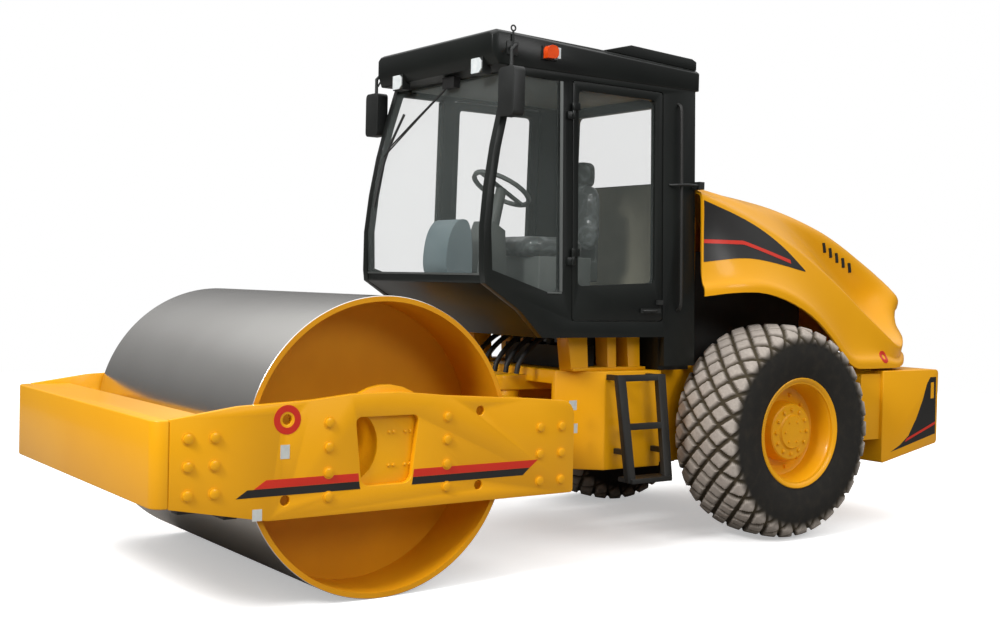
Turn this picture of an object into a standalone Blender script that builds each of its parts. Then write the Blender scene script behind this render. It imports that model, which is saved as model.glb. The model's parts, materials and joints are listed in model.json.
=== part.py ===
"""Single-drum road roller, in metres, standing on z = 0 with its front towards -Y and its left side at +X.

The origin is the bottom centre of the whole machine. Positions along the machine are given from the
drum's axle (the *_Y tables below count rearwards from it) and are shifted by drum_y once, in place().
"""

import math

import bmesh
import bpy
from mathutils import Matrix, Vector

# Driving dimensions.
FRONT_REACH = 1.28  # front face ahead of the drum's axle
WHEELBASE = 3.20
REAR_REACH = 1.65  # rear face behind the rear axle
HALF_WIDTH = 1.15
PLATE_FACE = HALF_WIDTH - 0.014  # the side plates stand in by the height of a bolt head
DRUM_RADIUS = 0.80
DRUM_HALF = 1.09
SHELL_WALL = 0.030
HEAD_INSET = 0.40  # from the shell's end to the head plate
HEAD_PLATE = 0.030
WHEEL_RADIUS = 0.72
TYRE_WIDTH = 0.55
RIM_RADIUS = 0.37
RIM_BARREL = 0.33
SIDE_PLATE = 0.035
PIVOT_Y = 1.50  # articulation pivot behind the drum's axle
HITCH_LOW = 0.72
HITCH_HIGH = 0.98
FRAME_LOW = 0.50
FRAME_TOP = 1.13
CAB_HALF = 0.73
CAB_WALL = 0.055
CAB_LEAN = 0.042  # share of the half width lost per metre of height above the cab's sill
CAB_SILL = 1.35
CAB_EAVES = 2.98
CAB_REAR = 2.58
CAB_BOX_Y = 2.31  # front of the closed box under the cab's rear
DOOR_GAP = 0.006
HOOD_WALL = 0.025
JOIN = 0.0003  # gap between pieces that touch
ROUND = 64  # flats round the drum
WHEEL_ROUND = 40

LENGTH = FRONT_REACH + WHEELBASE + REAR_REACH
DRUM_Y = FRONT_REACH - LENGTH / 2
AXLE_Y = WHEELBASE  # measured from the drum's axle, as all the outlines are
REAR_Y = WHEELBASE + REAR_REACH
WEIGHT_Y = AXLE_Y + 1.01  # front face of the counterweight

BEAM_REAR = 1.245  # rear face of the front frame's rear beam
BEAM_DEPTH = 0.20
STEER_FRONT = (0.30, 1.33)  # rod's eye (x, y) at the front frame
STEER_REAR = (0.28, 2.20)  # barrel's eye (x, y) at the rear frame
STEER_Z = 0.575

FRAME_WIDE = 0.68
FRAME_NARROW = HALF_WIDTH - TYRE_WIDTH - 0.06  # between the tyres
FRAME_ARCH = 0.86  # underside of the frame over the rear axle

WHEEL_PLANE = HALF_WIDTH - TYRE_WIDTH / 2
WHEEL_DISC = WHEEL_PLANE + 0.045  # inner face of the wheel's disc
FLANGE_HALF = 0.252  # rim flange from the wheel's middle plane

# Front edge of the cab from sill to eaves (y, z): upright glass that curls back under the roof.
SCREEN_EDGE = [(0.875, 1.745), (0.872, 2.00), (0.900, 2.25), (0.945, 2.50), (1.000, 2.72), (1.075, CAB_EAVES)]
ROOF_HALF = CAB_HALF * (1 - CAB_LEAN * (CAB_EAVES - CAB_SILL)) + 0.005
DOOR_FRONT = 1.535
DOOR_REAR = 2.295
DOOR_LOW = 1.450
DOOR_HIGH = 2.945
HINGE_X = CAB_HALF + 0.020
HINGE_Y = DOOR_FRONT - 0.004
HINGE_HEIGHTS = (1.80, 2.70)
KNUCKLE = 0.05

# Hood sections: y behind the rear axle, top z, top half width, ridge x, ridge z, side x, lower z.
HOOD = [
    (-0.60, 2.372, 0.50, 0.745, 2.310, 0.800, 1.620),
    (-0.40, 2.356, 0.50, 0.765, 2.245, 0.920, 1.655),
    (-0.15, 2.331, 0.50, 0.790, 2.150, 0.980, 1.652),
    (0.20, 2.288, 0.50, 0.840, 1.985, 1.000, 1.530),
    (0.46, 2.234, 0.50, 0.875, 1.825, 1.000, 1.341),
    (0.66, 2.180, 0.50, 0.900, 1.690, 1.000, 1.130),
    (0.85, 2.120, 0.50, 0.918, 1.545, 1.000, 1.125),
    (1.05, 2.035, 0.50, 0.937, 1.405, 0.990, 1.125),
    (1.26, 1.930, 0.50, 0.945, 1.260, 0.970, 1.125),
    (1.48, 1.818, 0.48, 0.800, 1.330, 0.820, 1.190),
    (1.60, 1.735, 0.46, 0.660, 1.400, 0.670, 1.190),
    (1.65, 1.640, 0.44, 0.550, 1.400, 0.560, 1.190),
]
HOOD_HINGE = (AXLE_Y + 1.62, 1.15)


def material(name, colour, roughness, metallic=0.0, alpha=1.0):
    made = bpy.data.materials.new(name)
    made.use_nodes = True
    shader = made.node_tree.nodes["Principled BSDF"]
    shader.inputs["Base Color"].default_value = (*colour, 1.0)
    shader.inputs["Roughness"].default_value = roughness
    shader.inputs["Metallic"].default_value = metallic
    shader.inputs["Alpha"].default_value = alpha
    made.diffuse_color = (*colour, alpha)
    return made


# Shape helpers. Each returns an object whose mesh is one closed body.


def mesh_object(name, points, faces, paint):
    mesh = bpy.data.meshes.new(name)
    mesh.from_pydata([tuple(p) for p in points], [], faces)
    work = bmesh.new()
    work.from_mesh(mesh)
    bmesh.ops.recalc_face_normals(work, faces=work.faces)
    work.to_mesh(mesh)
    work.free()
    made = bpy.data.objects.new(name, mesh)
    bpy.context.collection.objects.link(made)
    if paint:
        mesh.materials.append(paint)
    return made


def rounded(corners, segments=4):
    """The outline of corners (a, b, radius), each rounded by an arc tangent to its two sides."""
    outline = []
    count = len(corners)
    for i, (a, b, radius) in enumerate(corners):
        if radius == 0:
            outline.append((a, b))
            continue
        corner = Vector((a, b))
        back = (Vector(corners[i - 1][:2]) - corner).normalized()
        ahead = (Vector(corners[(i + 1) % count][:2]) - corner).normalized()
        half = back.angle(ahead) / 2
        centre = corner + (back + ahead).normalized() * (radius / math.sin(half))
        first = corner + back * (radius / math.tan(half)) - centre
        last = corner + ahead * (radius / math.tan(half)) - centre
        sweep = (math.atan2(last.y, last.x) - math.atan2(first.y, first.x) + math.pi) % (2 * math.pi) - math.pi
        for k in range(segments + 1):
            turn = Matrix.Rotation(sweep * k / segments, 2)
            outline.append(tuple(centre + turn @ first))
    return outline


def prism(name, outline, axis, low, high, paint=None):
    """The outline, in the two other axes in X, Y, Z order, carried along the axis from low to high."""
    def point(a, b, along):
        values = [a, b]
        values.insert("XYZ".index(axis), along)
        return values

    count = len(outline)
    points = [point(a, b, along) for along in (low, high) for a, b in outline]
    faces = [list(range(count)), list(range(count, 2 * count))]
    faces += [[i, (i + 1) % count, (i + 1) % count + count, i + count] for i in range(count)]
    return mesh_object(name, points, faces, paint)


def box(name, x, y, z, paint=None):
    return prism(name, [(x[0], y[0]), (x[1], y[0]), (x[1], y[1]), (x[0], y[1])], "Z", z[0], z[1], paint)


def lathe(name, profile, axis, centre, steps, paint=None):
    """A closed profile of (along, radius) turned about an axis; its flats, not its edges, reach the radius."""
    grow = 1 / math.cos(math.pi / steps)
    points, rings, faces = [], [], []
    for along, radius in profile:
        if radius == 0:
            rings.append([len(points)] * steps)
            points.append((along, 0.0, 0.0))
            continue
        rings.append(list(range(len(points), len(points) + steps)))
        for k in range(steps):
            angle = (k + 0.5) * 2 * math.pi / steps
            points.append((along, radius * grow * math.cos(angle), radius * grow * math.sin(angle)))
    open_ends = profile[0][1] == 0 and profile[-1][1] == 0
    pairs = list(zip(rings, rings[1:])) + ([] if open_ends else [(rings[-1], rings[0])])
    for first, second in pairs:
        for k in range(steps):
            after = (k + 1) % steps
            face = [first[k], first[after], second[after], second[k]]
            faces.append(list(dict.fromkeys(face)))
    made = mesh_object(name, points, [face for face in faces if len(face) > 2], paint)
    turn = {"X": Matrix.Identity(4), "Y": Matrix.Rotation(math.pi / 2, 4, "Z"),
            "Z": Matrix.Rotation(-math.pi / 2, 4, "Y")}[axis]
    made.data.transform(Matrix.Translation(centre) @ turn)
    return made


def bar(name, start, end, radius, sides=12, paint=None):
    """A round bar between two points."""
    start, end = Vector(start), Vector(end)
    made = lathe(name, [(0, 0), (0, radius), ((end - start).length, radius), ((end - start).length, 0)],
                 "X", (0, 0, 0), sides, paint)
    made.data.transform((end - start).to_track_quat("X", "Z").to_matrix().to_4x4())
    made.data.transform(Matrix.Translation(start))
    return made


def pipe(name, route, radius, paint=None, sides=8):
    """A bent bar along the route's points."""
    curve = bpy.data.curves.new(name, "CURVE")
    curve.dimensions = "3D"
    curve.bevel_depth = radius
    curve.bevel_resolution = sides // 4
    curve.use_fill_caps = True
    spline = curve.splines.new("POLY")
    spline.points.add(len(route) - 1)
    for point, place in zip(spline.points, route):
        point.co = (*place, 1.0)
    made = bpy.data.objects.new(name, curve)
    bpy.context.collection.objects.link(made)
    bpy.context.view_layer.update()
    mesh = bpy.data.meshes.new_from_object(made.evaluated_get(bpy.context.evaluated_depsgraph_get()))
    bpy.data.objects.remove(made)
    work = bmesh.new()
    work.from_mesh(mesh)
    bmesh.ops.remove_doubles(work, verts=work.verts, dist=1e-6)
    bmesh.ops.recalc_face_normals(work, faces=work.faces)
    work.to_mesh(mesh)
    work.free()
    mesh.materials.clear()
    if paint:
        mesh.materials.append(paint)
    made = bpy.data.objects.new(name, mesh)
    bpy.context.collection.objects.link(made)
    return made


def combined(target, operation, others):
    """The target after a Boolean with each of the others, which are used up."""
    for other in others:
        step = target.modifiers.new(operation.lower(), "BOOLEAN")
        step.operation = operation
        step.object = other
        bpy.context.view_layer.update()
        mesh = bpy.data.meshes.new_from_object(target.evaluated_get(bpy.context.evaluated_depsgraph_get()))
        target.modifiers.clear()
        target.data = mesh
        bpy.data.objects.remove(other)
    return target


def cut(target, *others):
    return combined(target, "DIFFERENCE", others)


def joined(target, *others):
    return combined(target, "UNION", others)


def bevelled(target, width, segments=2):
    """The target with its sharp edges rounded."""
    bevel = target.modifiers.new("bevel", "BEVEL")
    bevel.width = width
    bevel.segments = segments
    bevel.limit_method = "ANGLE"
    bevel.angle_limit = math.radians(50)
    return target


def mirrored(source, name):
    """The same piece on the machine's right side."""
    made = source.copy()
    made.name = name
    made.data = source.data.copy()
    made.data.transform(Matrix.Scale(-1, 4, (1, 0, 0)))
    made.data.flip_normals()
    bpy.context.collection.objects.link(made)
    return made


def leaned(target):
    """The target's sides drawn in towards the cab's roof."""
    for vertex in target.data.vertices:
        vertex.co.x *= 1 - CAB_LEAN * (vertex.co.z - CAB_SILL)
    return target


# The machine's pieces. Lengths along Y are from the drum's axle until place() shifts them.


def side_plate(paint):
    """Outline (y, z, corner radius) of one side plate, then its window and its four eye holes."""
    outline = rounded([
        (-FRONT_REACH + 0.08, 0.573, 0), (-0.69, 0.475, 0.20), (BEAM_REAR, 0.475, 0.02), (BEAM_REAR, 1.005, 0.09),
        (0.936, 1.030, 0.30), (0.36, 1.066, 0.30), (0.06, 1.095, 0.30), (-0.22, 1.092, 0.30),
        (-0.46, 1.068, 0.30), (-0.85, 1.050, 0.30), (-FRONT_REACH + 0.08, 1.000, 0)])
    plate = prism("side_plate_left", outline, "X", PLATE_FACE - SIDE_PLATE, PLATE_FACE, paint)
    window = rounded([(-0.200, 0.970, 0.03), (0.185, 0.970, 0.03), (0.140, 0.610, 0.05), (-0.160, 0.610, 0.05)])
    cuts = [prism("window", window, "X", PLATE_FACE - 0.2, PLATE_FACE + 0.1)]
    for y, z in ((-0.590, 0.975), (-0.595, 0.570), (0.577, 0.565), (0.580, 0.975)):
        cuts.append(bar("eye", (PLATE_FACE - 0.2, y, z), (PLATE_FACE + 0.1, y, z), 0.026, 12))
    return cut(plate, *cuts)


def front_beam(paint):
    """Plan outline of the bent front beam, which laps inside the side plates."""
    inner = PLATE_FACE - SIDE_PLATE - JOIN
    lap = -FRONT_REACH + 0.08 - JOIN
    half = [(PLATE_FACE, lap, 0), (inner, lap, 0), (inner, -0.97, 0)]
    outline = rounded([(-PLATE_FACE, -FRONT_REACH, 0.07), (PLATE_FACE, -FRONT_REACH, 0.07), *half,
                       *[(-x, y, r) for x, y, r in reversed(half)]])
    return prism("front_beam", outline, "Z", 0.575, 0.998, paint)


def rear_beam(paint):
    inner = PLATE_FACE - SIDE_PLATE - JOIN
    beam = box("rear_beam", (-inner, inner), (BEAM_REAR - BEAM_DEPTH, BEAM_REAR), (0.480, 0.980), paint)
    for side in (-1, 1):
        for low, high in ((0.500, 0.525), (0.625, 0.650)):
            x = side * STEER_FRONT[0]
            inside = BEAM_REAR - 0.045
            ear = rounded([(x - 0.06, inside, 0), (x + 0.06, inside, 0), (x + 0.06, STEER_FRONT[1] + 0.05, 0.05),
                           (x - 0.06, STEER_FRONT[1] + 0.05, 0.05)])
            beam = joined(beam, prism("ear", ear, "Z", low, high))
    return beam


def hitch(paint):
    """The yoke of the centre joint: an oscillation flange, a tongue and the upright pivot barrel."""
    middle = (HITCH_LOW + HITCH_HIGH) / 2
    height = HITCH_HIGH - HITCH_LOW
    front = BEAM_REAR + JOIN
    flange = lathe("hitch", [(front, 0), (front, 0.21), (front + 0.045, 0.21), (front + 0.045, 0)],
                   "Y", (0, 0, middle), 32, paint)
    tongue = box("tongue", (-0.13, 0.13), (front + 0.01, PIVOT_Y), (HITCH_LOW + 0.03, HITCH_HIGH - 0.03))
    barrel = bar("barrel", (0, PIVOT_Y, HITCH_LOW), (0, PIVOT_Y, HITCH_HIGH), 0.145, 24)
    return joined(flange, tongue, barrel)


def drum_shell(paint):
    inside = DRUM_RADIUS - SHELL_WALL
    profile = [(-DRUM_HALF, inside), (-DRUM_HALF, DRUM_RADIUS), (DRUM_HALF, DRUM_RADIUS), (DRUM_HALF, inside)]
    return lathe("drum_shell", profile, "X", (0, 0, DRUM_RADIUS), ROUND, paint)


def drum_head(paint):
    """The head plate inside the drum's left end, with its bearing boss."""
    plate = DRUM_HALF - HEAD_INSET
    reach = DRUM_RADIUS - SHELL_WALL - JOIN
    profile = [(plate, 0), (plate, reach), (plate + HEAD_PLATE, reach), (plate + HEAD_PLATE, 0.24),
               (plate + 0.09, 0.22), (plate + 0.09, 0)]
    return lathe("drum_head_left", profile, "X", (0, 0, DRUM_RADIUS), ROUND, paint)


def drum_carrier(paint):
    """The bearing housing and drive plate that hang the drum in the left side plate."""
    bearing = DRUM_HALF - HEAD_INSET + 0.09 + JOIN
    outer = PLATE_FACE - SIDE_PLATE - JOIN
    profile = [(bearing, 0), (bearing, 0.16), (bearing + 0.10, 0.18), (bearing + 0.10, 0.26), (outer - 0.035, 0.26),
               (outer - 0.035, 0.33), (outer, 0.33), (outer, 0)]
    carrier = lathe("drum_carrier_left", profile, "X", (0, 0, DRUM_RADIUS), 32, paint)
    port = bar("port", (bearing + 0.10, -0.25, DRUM_RADIUS + 0.02), (outer + 0.1, -0.25, DRUM_RADIUS + 0.02), 0.20, 32)
    return cut(carrier, port)


def scraper(name, side, paint):
    """A scraper bar that lies along the drum on one side (-1 front, 1 rear), with the arms that hold it to a beam."""
    low, high = 0.47, 0.52
    blade_y = side * (math.sqrt(DRUM_RADIUS ** 2 - (DRUM_RADIUS - high) ** 2) + 0.012)
    beam_y = BEAM_REAR - BEAM_DEPTH - JOIN if side > 0 else -1.03
    blade = prism(name, [(blade_y, high), (blade_y + side * 0.02, low), (blade_y + side * 0.09, low),
                         (blade_y + side * 0.09, high)], "X", -0.98, 0.98, paint)
    for x in (-0.78, -0.39, 0.0, 0.39, 0.78):
        reach = sorted((blade_y + side * 0.04, beam_y))
        blade = joined(blade, box("arm", (x - 0.04, x + 0.04), reach, (low + 0.015, high - 0.005)))
        if side < 0:
            blade = joined(blade, box("foot", (x - 0.04, x + 0.04), (beam_y, beam_y + 0.05), (low + 0.02, 0.575 - JOIN)))
    return blade


def rear_frame(paint):
    """Plan outline (x, y) of the rear frame's left half, with its pocket, axle arch, ears and cylinder lugs."""
    half = [(0.47, 1.62), (FRAME_WIDE, 1.86), (FRAME_WIDE, 2.34), (FRAME_NARROW, 2.42), (FRAME_NARROW, WEIGHT_Y - JOIN)]
    outline = half + [(-x, y) for x, y in reversed(half)]
    frame = prism("rear_frame", outline, "Z", FRAME_LOW, FRAME_TOP, paint)
    pocket = box("pocket", (-0.43, 0.43), (1.3, 2.36), (0.3, 1.04))
    slope = [(AXLE_Y - 0.54, 0.4), (AXLE_Y - 0.40, FRAME_ARCH), (AXLE_Y + 0.40, FRAME_ARCH), (AXLE_Y + 0.54, 0.4)]
    arch = prism("arch", slope, "X", -HALF_WIDTH, HALF_WIDTH)
    bowl = box("bowl", (-0.30, 0.30), (AXLE_Y - 0.27, AXLE_Y + 0.27), (0.7, 0.97))
    frame = cut(frame, pocket, arch, bowl)
    ear = rounded([(-0.17, 2.40, 0), (-0.15, PIVOT_Y - 0.145, 0.12), (0.15, PIVOT_Y - 0.145, 0.12), (0.17, 2.40, 0)])
    for low, high in ((HITCH_LOW - 0.065, HITCH_LOW - JOIN), (HITCH_HIGH + JOIN, HITCH_HIGH + 0.10)):
        frame = joined(frame, prism("ear", ear, "Z", low, high))
    for side in (-1, 1):
        for low, high in ((STEER_Z - 0.070, STEER_Z - 0.045), (STEER_Z + 0.045, STEER_Z + 0.070)):
            x = side * STEER_REAR[0]
            frame = joined(frame, box("lug", (x - 0.06, x + 0.06), (STEER_REAR[1] - 0.06, 2.40), (low, high)))
    return frame


def cab_mount(paint):
    """Left cab mount: a strip on the frame with three leaning feet, (y, half length) each, under the cab's floor."""
    low = FRAME_TOP + JOIN
    mount = box("cab_mount_left", (0.46, 0.60), (1.66, 2.27), (low, low + 0.02), paint)
    for y, half in ((1.72, 0.07), (1.99, 0.035), (2.18, 0.05)):
        foot = [(y - half, low + 0.01), (y + half, low + 0.01), (y + half * 0.8, CAB_SILL - JOIN),
                (y - half * 1.4, CAB_SILL - JOIN)]
        mount = joined(mount, prism("foot", foot, "X", 0.47, 0.59))
    return mount


def steering_cylinder(paint, chrome):
    """Barrel and rod on the line from the frame's lug to the front frame's ear."""
    rear = Vector((*STEER_REAR, STEER_Z))
    front = Vector((*STEER_FRONT, STEER_Z))
    along = (front - rear).normalized()
    barrel = bar("steering_barrel_left", rear + along * 0.03, rear + along * 0.56, 0.041, 16, paint)
    eye_low, eye_high = STEER_Z - 0.045 + JOIN, STEER_Z + 0.045 - JOIN
    barrel = joined(barrel, bar("eye", (*STEER_REAR, eye_low), (*STEER_REAR, eye_high), 0.045, 16))
    barrel = cut(barrel, bar("bore", rear + along * 0.10, rear + along * 0.60, 0.0275, 16))
    rod = bar("steering_rod_left", rear + along * 0.30, front, 0.027, 16, chrome)
    rod = joined(rod, bar("eye", (*STEER_FRONT, STEER_Z - 0.035), (*STEER_FRONT, STEER_Z + 0.035), 0.042, 16))
    return barrel, rod


def rear_axle(paint):
    """Axle tube with its bowl, its pads under the frame and the flanges that carry the wheels."""
    disc = WHEEL_DISC - JOIN
    profile = [(-disc, 0), (-disc, 0.20), (-disc + 0.10, 0.20), (-disc + 0.12, 0.12), (-0.26, 0.11), (-0.14, 0.21),
               (0.14, 0.21), (0.26, 0.11), (disc - 0.12, 0.12), (disc - 0.10, 0.20), (disc, 0.20), (disc, 0)]
    axle = lathe("rear_axle", profile, "X", (0, AXLE_Y, WHEEL_RADIUS), 24, paint)
    for side in (-1, 1):
        x = sorted((side * 0.40, side * (FRAME_NARROW - 0.01)))
        axle = joined(axle, box("pad", x, (AXLE_Y - 0.12, AXLE_Y + 0.12), (WHEEL_RADIUS, FRAME_ARCH - JOIN)))
    return axle


def rim(paint):
    """Rim, disc and hub: profile (from the wheel's middle plane, radius)."""
    disc = WHEEL_DISC - WHEEL_PLANE
    lip = FLANGE_HALF
    profile = [
        (disc, 0), (disc, RIM_BARREL - 0.03), (-lip + 0.03, RIM_BARREL - 0.02), (-lip, RIM_RADIUS),
        (-lip + 0.012, RIM_RADIUS), (-lip + 0.012, RIM_BARREL), (lip - 0.012, RIM_BARREL),
        (lip - 0.012, RIM_RADIUS), (lip, RIM_RADIUS), (lip - 0.04, RIM_BARREL - 0.02),
        (disc + 0.04, RIM_BARREL - 0.03), (disc + 0.025, 0.195), (disc + 0.13, 0.175), (disc + 0.14, 0)]
    return lathe("rim_left", profile, "X", (WHEEL_PLANE, AXLE_Y, WHEEL_RADIUS), WHEEL_ROUND, paint)


def tyre(paint):
    """Tyre profile (from the middle plane, radius), half of it mirrored."""
    seat = FLANGE_HALF - 0.012 - JOIN
    half = TYRE_WIDTH / 2
    side = [(seat, RIM_BARREL + JOIN), (seat, RIM_RADIUS + 0.006), (half - 0.008, RIM_RADIUS + 0.05),
            (half, 0.52), (half - 0.006, 0.61), (half - 0.045, 0.685), (half - 0.11, 0.713), (0.10, WHEEL_RADIUS)]
    profile = [*side, *[(-x, r) for x, r in reversed(side)]]
    return lathe("tyre_left", profile, "X", (WHEEL_PLANE, AXLE_Y, WHEEL_RADIUS), WHEEL_ROUND, paint)


def cab_floor(paint):
    """Floor pan that turns up at the front, with the closed box that stands on the frame at the rear."""
    inner = CAB_HALF - CAB_WALL - JOIN
    outline = [(0.885, 1.735), (0.885, 1.675), (1.14, 1.52), (1.31, CAB_SILL), (CAB_BOX_Y, CAB_SILL),
               (CAB_BOX_Y, FRAME_TOP + JOIN), (CAB_REAR, FRAME_TOP + JOIN), (CAB_REAR, 1.42), (1.34, 1.42),
               (1.17, 1.58), (0.945, 1.715), (0.945, 1.735)]
    return leaned(prism("cab_floor", outline, "X", -inner, inner, paint))


def cab_side(paint):
    """Left wall frame: its outline follows the screen's edge; the window and the door are cut out."""
    outline = [(0.885, 1.675), (1.14, 1.515), (1.31, CAB_SILL), (CAB_BOX_Y, CAB_SILL), (CAB_BOX_Y, FRAME_TOP + 0.03),
               (CAB_REAR, FRAME_TOP + 0.03), (CAB_REAR, CAB_EAVES), *reversed(SCREEN_EDGE)]
    wall = prism("cab_side_left", outline, "X", CAB_HALF - CAB_WALL, CAB_HALF, paint)
    window = rounded([(0.935, 1.755, 0), (1.345, 1.630, 0.03), (1.455, 1.630, 0.03), (1.455, 2.93, 0.03),
                      (1.115, 2.93, 0.03), (1.045, 2.70, 0), (0.990, 2.48, 0), (0.948, 2.24, 0), (0.924, 2.00, 0)])
    door = rounded([(DOOR_FRONT, DOOR_LOW, 0.02), (DOOR_REAR, DOOR_LOW, 0.02), (DOOR_REAR, DOOR_HIGH, 0.02),
                    (DOOR_FRONT, DOOR_HIGH, 0.02)])
    wall = cut(wall, prism("window", window, "X", 0.5, 0.9), prism("door", door, "X", 0.5, 0.9))
    for z in HINGE_HEIGHTS:
        wall = joined(wall, box("leaf", (CAB_HALF - 0.01, HINGE_X), (HINGE_Y - 0.045, HINGE_Y), (z, z + KNUCKLE - 0.005)))
    wall = leaned(wall)
    for z in HINGE_HEIGHTS:
        wall = joined(wall, bar("knuckle", hinge_point(z), hinge_point(z + KNUCKLE), 0.012, 12))
    return wall


def hinge_point(z):
    """A point of the left door's hinge line, which leans with the wall."""
    return Vector((HINGE_X * (1 - CAB_LEAN * (z - CAB_SILL)), HINGE_Y, z))


def door(paint):
    """Left door frame round its glass, with the two hinge knuckles at its front edge."""
    gap = DOOR_GAP
    inner = CAB_HALF - 0.045
    outline = rounded([(DOOR_FRONT + gap, DOOR_LOW + gap, 0.02), (DOOR_REAR - gap, DOOR_LOW + gap, 0.02),
                       (DOOR_REAR - gap, DOOR_HIGH - gap, 0.02), (DOOR_FRONT + gap, DOOR_HIGH - gap, 0.02)])
    leaf = prism("door_left", outline, "X", inner, CAB_HALF - 0.001, paint)
    leaf = cut(leaf, prism("window", door_light(0.0), "X", 0.5, 0.9))
    for z in HINGE_HEIGHTS:
        low, high = z + KNUCKLE + 0.005, z + 2 * KNUCKLE
        arm = prism("arm", [(HINGE_X - 0.008, HINGE_Y), (HINGE_X + 0.008, HINGE_Y), (HINGE_X + 0.008, HINGE_Y + 0.045),
                            (CAB_HALF - 0.012, HINGE_Y + 0.045), (CAB_HALF - 0.012, DOOR_FRONT + gap + 0.006),
                            (HINGE_X - 0.008, DOOR_FRONT + gap + 0.006)], "Z", low, high)
        leaf = joined(leaf, arm)
    leaf = leaned(leaf)
    for z in HINGE_HEIGHTS:
        low = z + KNUCKLE + JOIN
        leaf = joined(leaf, bar("knuckle", hinge_point(low), hinge_point(low + KNUCKLE), 0.012, 12))
    return leaf


def door_light(shrink):
    """Outline of the door's window opening, smaller all round by shrink."""
    low_y, high_y, low_z, high_z = DOOR_FRONT + 0.05, DOOR_REAR - 0.07, 1.70, DOOR_HIGH - 0.06
    return rounded([(low_y + shrink, low_z - 0.03 + shrink, 0.03), (high_y - shrink, low_z + shrink, 0.03),
                    (high_y - shrink, high_z - shrink, 0.03), (low_y + shrink, high_z - shrink, 0.03)])


def door_glass(paint):
    x = CAB_HALF - 0.020
    return leaned(prism("door_glass_left", door_light(JOIN), "X", x - 0.005, x, paint))


def quarter_glass(paint):
    g = JOIN
    outline = rounded([(0.935 + g, 1.755 + g, 0), (1.345, 1.630 + g, 0.03), (1.455 - g, 1.630 + g, 0.03),
                       (1.455 - g, 2.93 - g, 0.03), (1.115, 2.93 - g, 0.03), (1.045 + g, 2.70, 0),
                       (0.990 + g, 2.48, 0), (0.948 + g, 2.24, 0), (0.924 + g, 2.00, 0)])
    x = CAB_HALF - 0.012
    return leaned(prism("quarter_glass_left", outline, "X", x - 0.005, x, paint))


def windscreen(paint):
    """Curved sheet between the two wall frames, just inside their front edge."""
    inner = CAB_HALF - CAB_WALL - JOIN
    front = [(y + 0.002, z) for y, z in SCREEN_EDGE]
    front[0] = (front[0][0] + 0.010, 1.735 + JOIN)
    front[-1] = (front[-1][0], CAB_EAVES - JOIN)
    outline = front + [(y + 0.008, z) for y, z in reversed(front)]
    return leaned(prism("windscreen", outline, "X", -inner, inner, paint))


def cab_rear_wall(paint):
    """Rear wall between the two wall frames, with its window."""
    inner = CAB_HALF - CAB_WALL - JOIN
    wall = box("cab_rear_wall", (-inner, inner), (CAB_REAR - 0.05, CAB_REAR), (1.42 + JOIN, CAB_EAVES - JOIN), paint)
    light = rounded([(-0.56, 2.38, 0.04), (0.56, 2.38, 0.04), (0.56, 2.90, 0.04), (-0.56, 2.90, 0.04)])
    return leaned(cut(wall, prism("light", light, "Y", CAB_REAR - 0.2, CAB_REAR + 0.2)))


def rear_glass(paint):
    g = JOIN
    outline = rounded([(-0.56 + g, 2.38 + g, 0.04), (0.56 - g, 2.38 + g, 0.04), (0.56 - g, 2.90 - g, 0.04),
                       (-0.56 + g, 2.90 - g, 0.04)])
    return leaned(prism("rear_glass", outline, "Y", CAB_REAR - 0.020, CAB_REAR - 0.015, paint))


def roof(paint):
    """Roof cap: sections (y, half width, low z, high z) from its front edge to the rear unit."""
    low_z = CAB_EAVES + JOIN
    sections = [(0.93, ROOF_HALF - 0.02, 3.060, 3.170), (0.97, ROOF_HALF, low_z, 3.190),
                (1.75, ROOF_HALF, low_z, 3.165), (CAB_REAR + 0.03, ROOF_HALF, low_z, 3.120)]
    points, faces = [], []
    for y, half, low, high in sections:
        points += [(-half, y, low), (half, y, low), (half, y, high - 0.02), (half - 0.03, y, high),
                   (-half + 0.03, y, high), (-half, y, high - 0.02)]
    for k in range(len(sections) - 1):
        for i in range(6):
            j = (i + 1) % 6
            faces.append([6 * k + i, 6 * k + j, 6 * k + 6 + j, 6 * k + 6 + i])
    faces += [list(range(6)), list(range(6 * (len(sections) - 1), 6 * len(sections)))]
    return mesh_object("roof", points, faces, paint)


def roof_top(y):
    """Height of the roof cap's falling rear part."""
    return 3.165 + (y - 1.75) * (3.120 - 3.165) / (CAB_REAR + 0.03 - 1.75)


def roof_unit(paint):
    """Raised housing over the rear of the roof, side outline (y, z)."""
    rear = CAB_REAR + 0.025
    outline = [(1.80, roof_top(1.80) + JOIN), (rear, roof_top(rear) + JOIN), (rear, 3.180), (rear - 0.04, 3.196),
               (2.03, 3.222)]
    return prism("roof_unit", outline, "X", -0.66, 0.66, paint)


def seat(paint, base_paint):
    """Seat cushion, backrest and the rigid base that carries them."""
    base = joined(box("seat_base", (-0.22, 0.22), (1.66, 2.10), (1.42 + JOIN, 1.86), base_paint),
                  box("back_bracket", (-0.10, 0.10), (2.08, 2.26), (1.70, 1.84)),
                  box("back_post", (-0.10, 0.10), (2.235, 2.26), (1.80, 2.30)))
    cushion = bevelled(box("seat_cushion", (-0.25, 0.25), (1.56, 2.09), (1.86 + JOIN, 1.99), paint), 0.04)
    shape = [(2.10, 1.88), (2.22, 1.88), (2.2347, 2.20), (2.2347, 2.40), (2.13, 2.40), (2.12, 2.20)]
    back = bevelled(prism("seat_back", shape, "X", -0.24, 0.24, paint), 0.03)
    back = joined(back, bevelled(box("headrest", (-0.13, 0.13), (2.14, 2.23), (2.36, 2.55)), 0.02))
    return base, cushion, back


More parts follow.
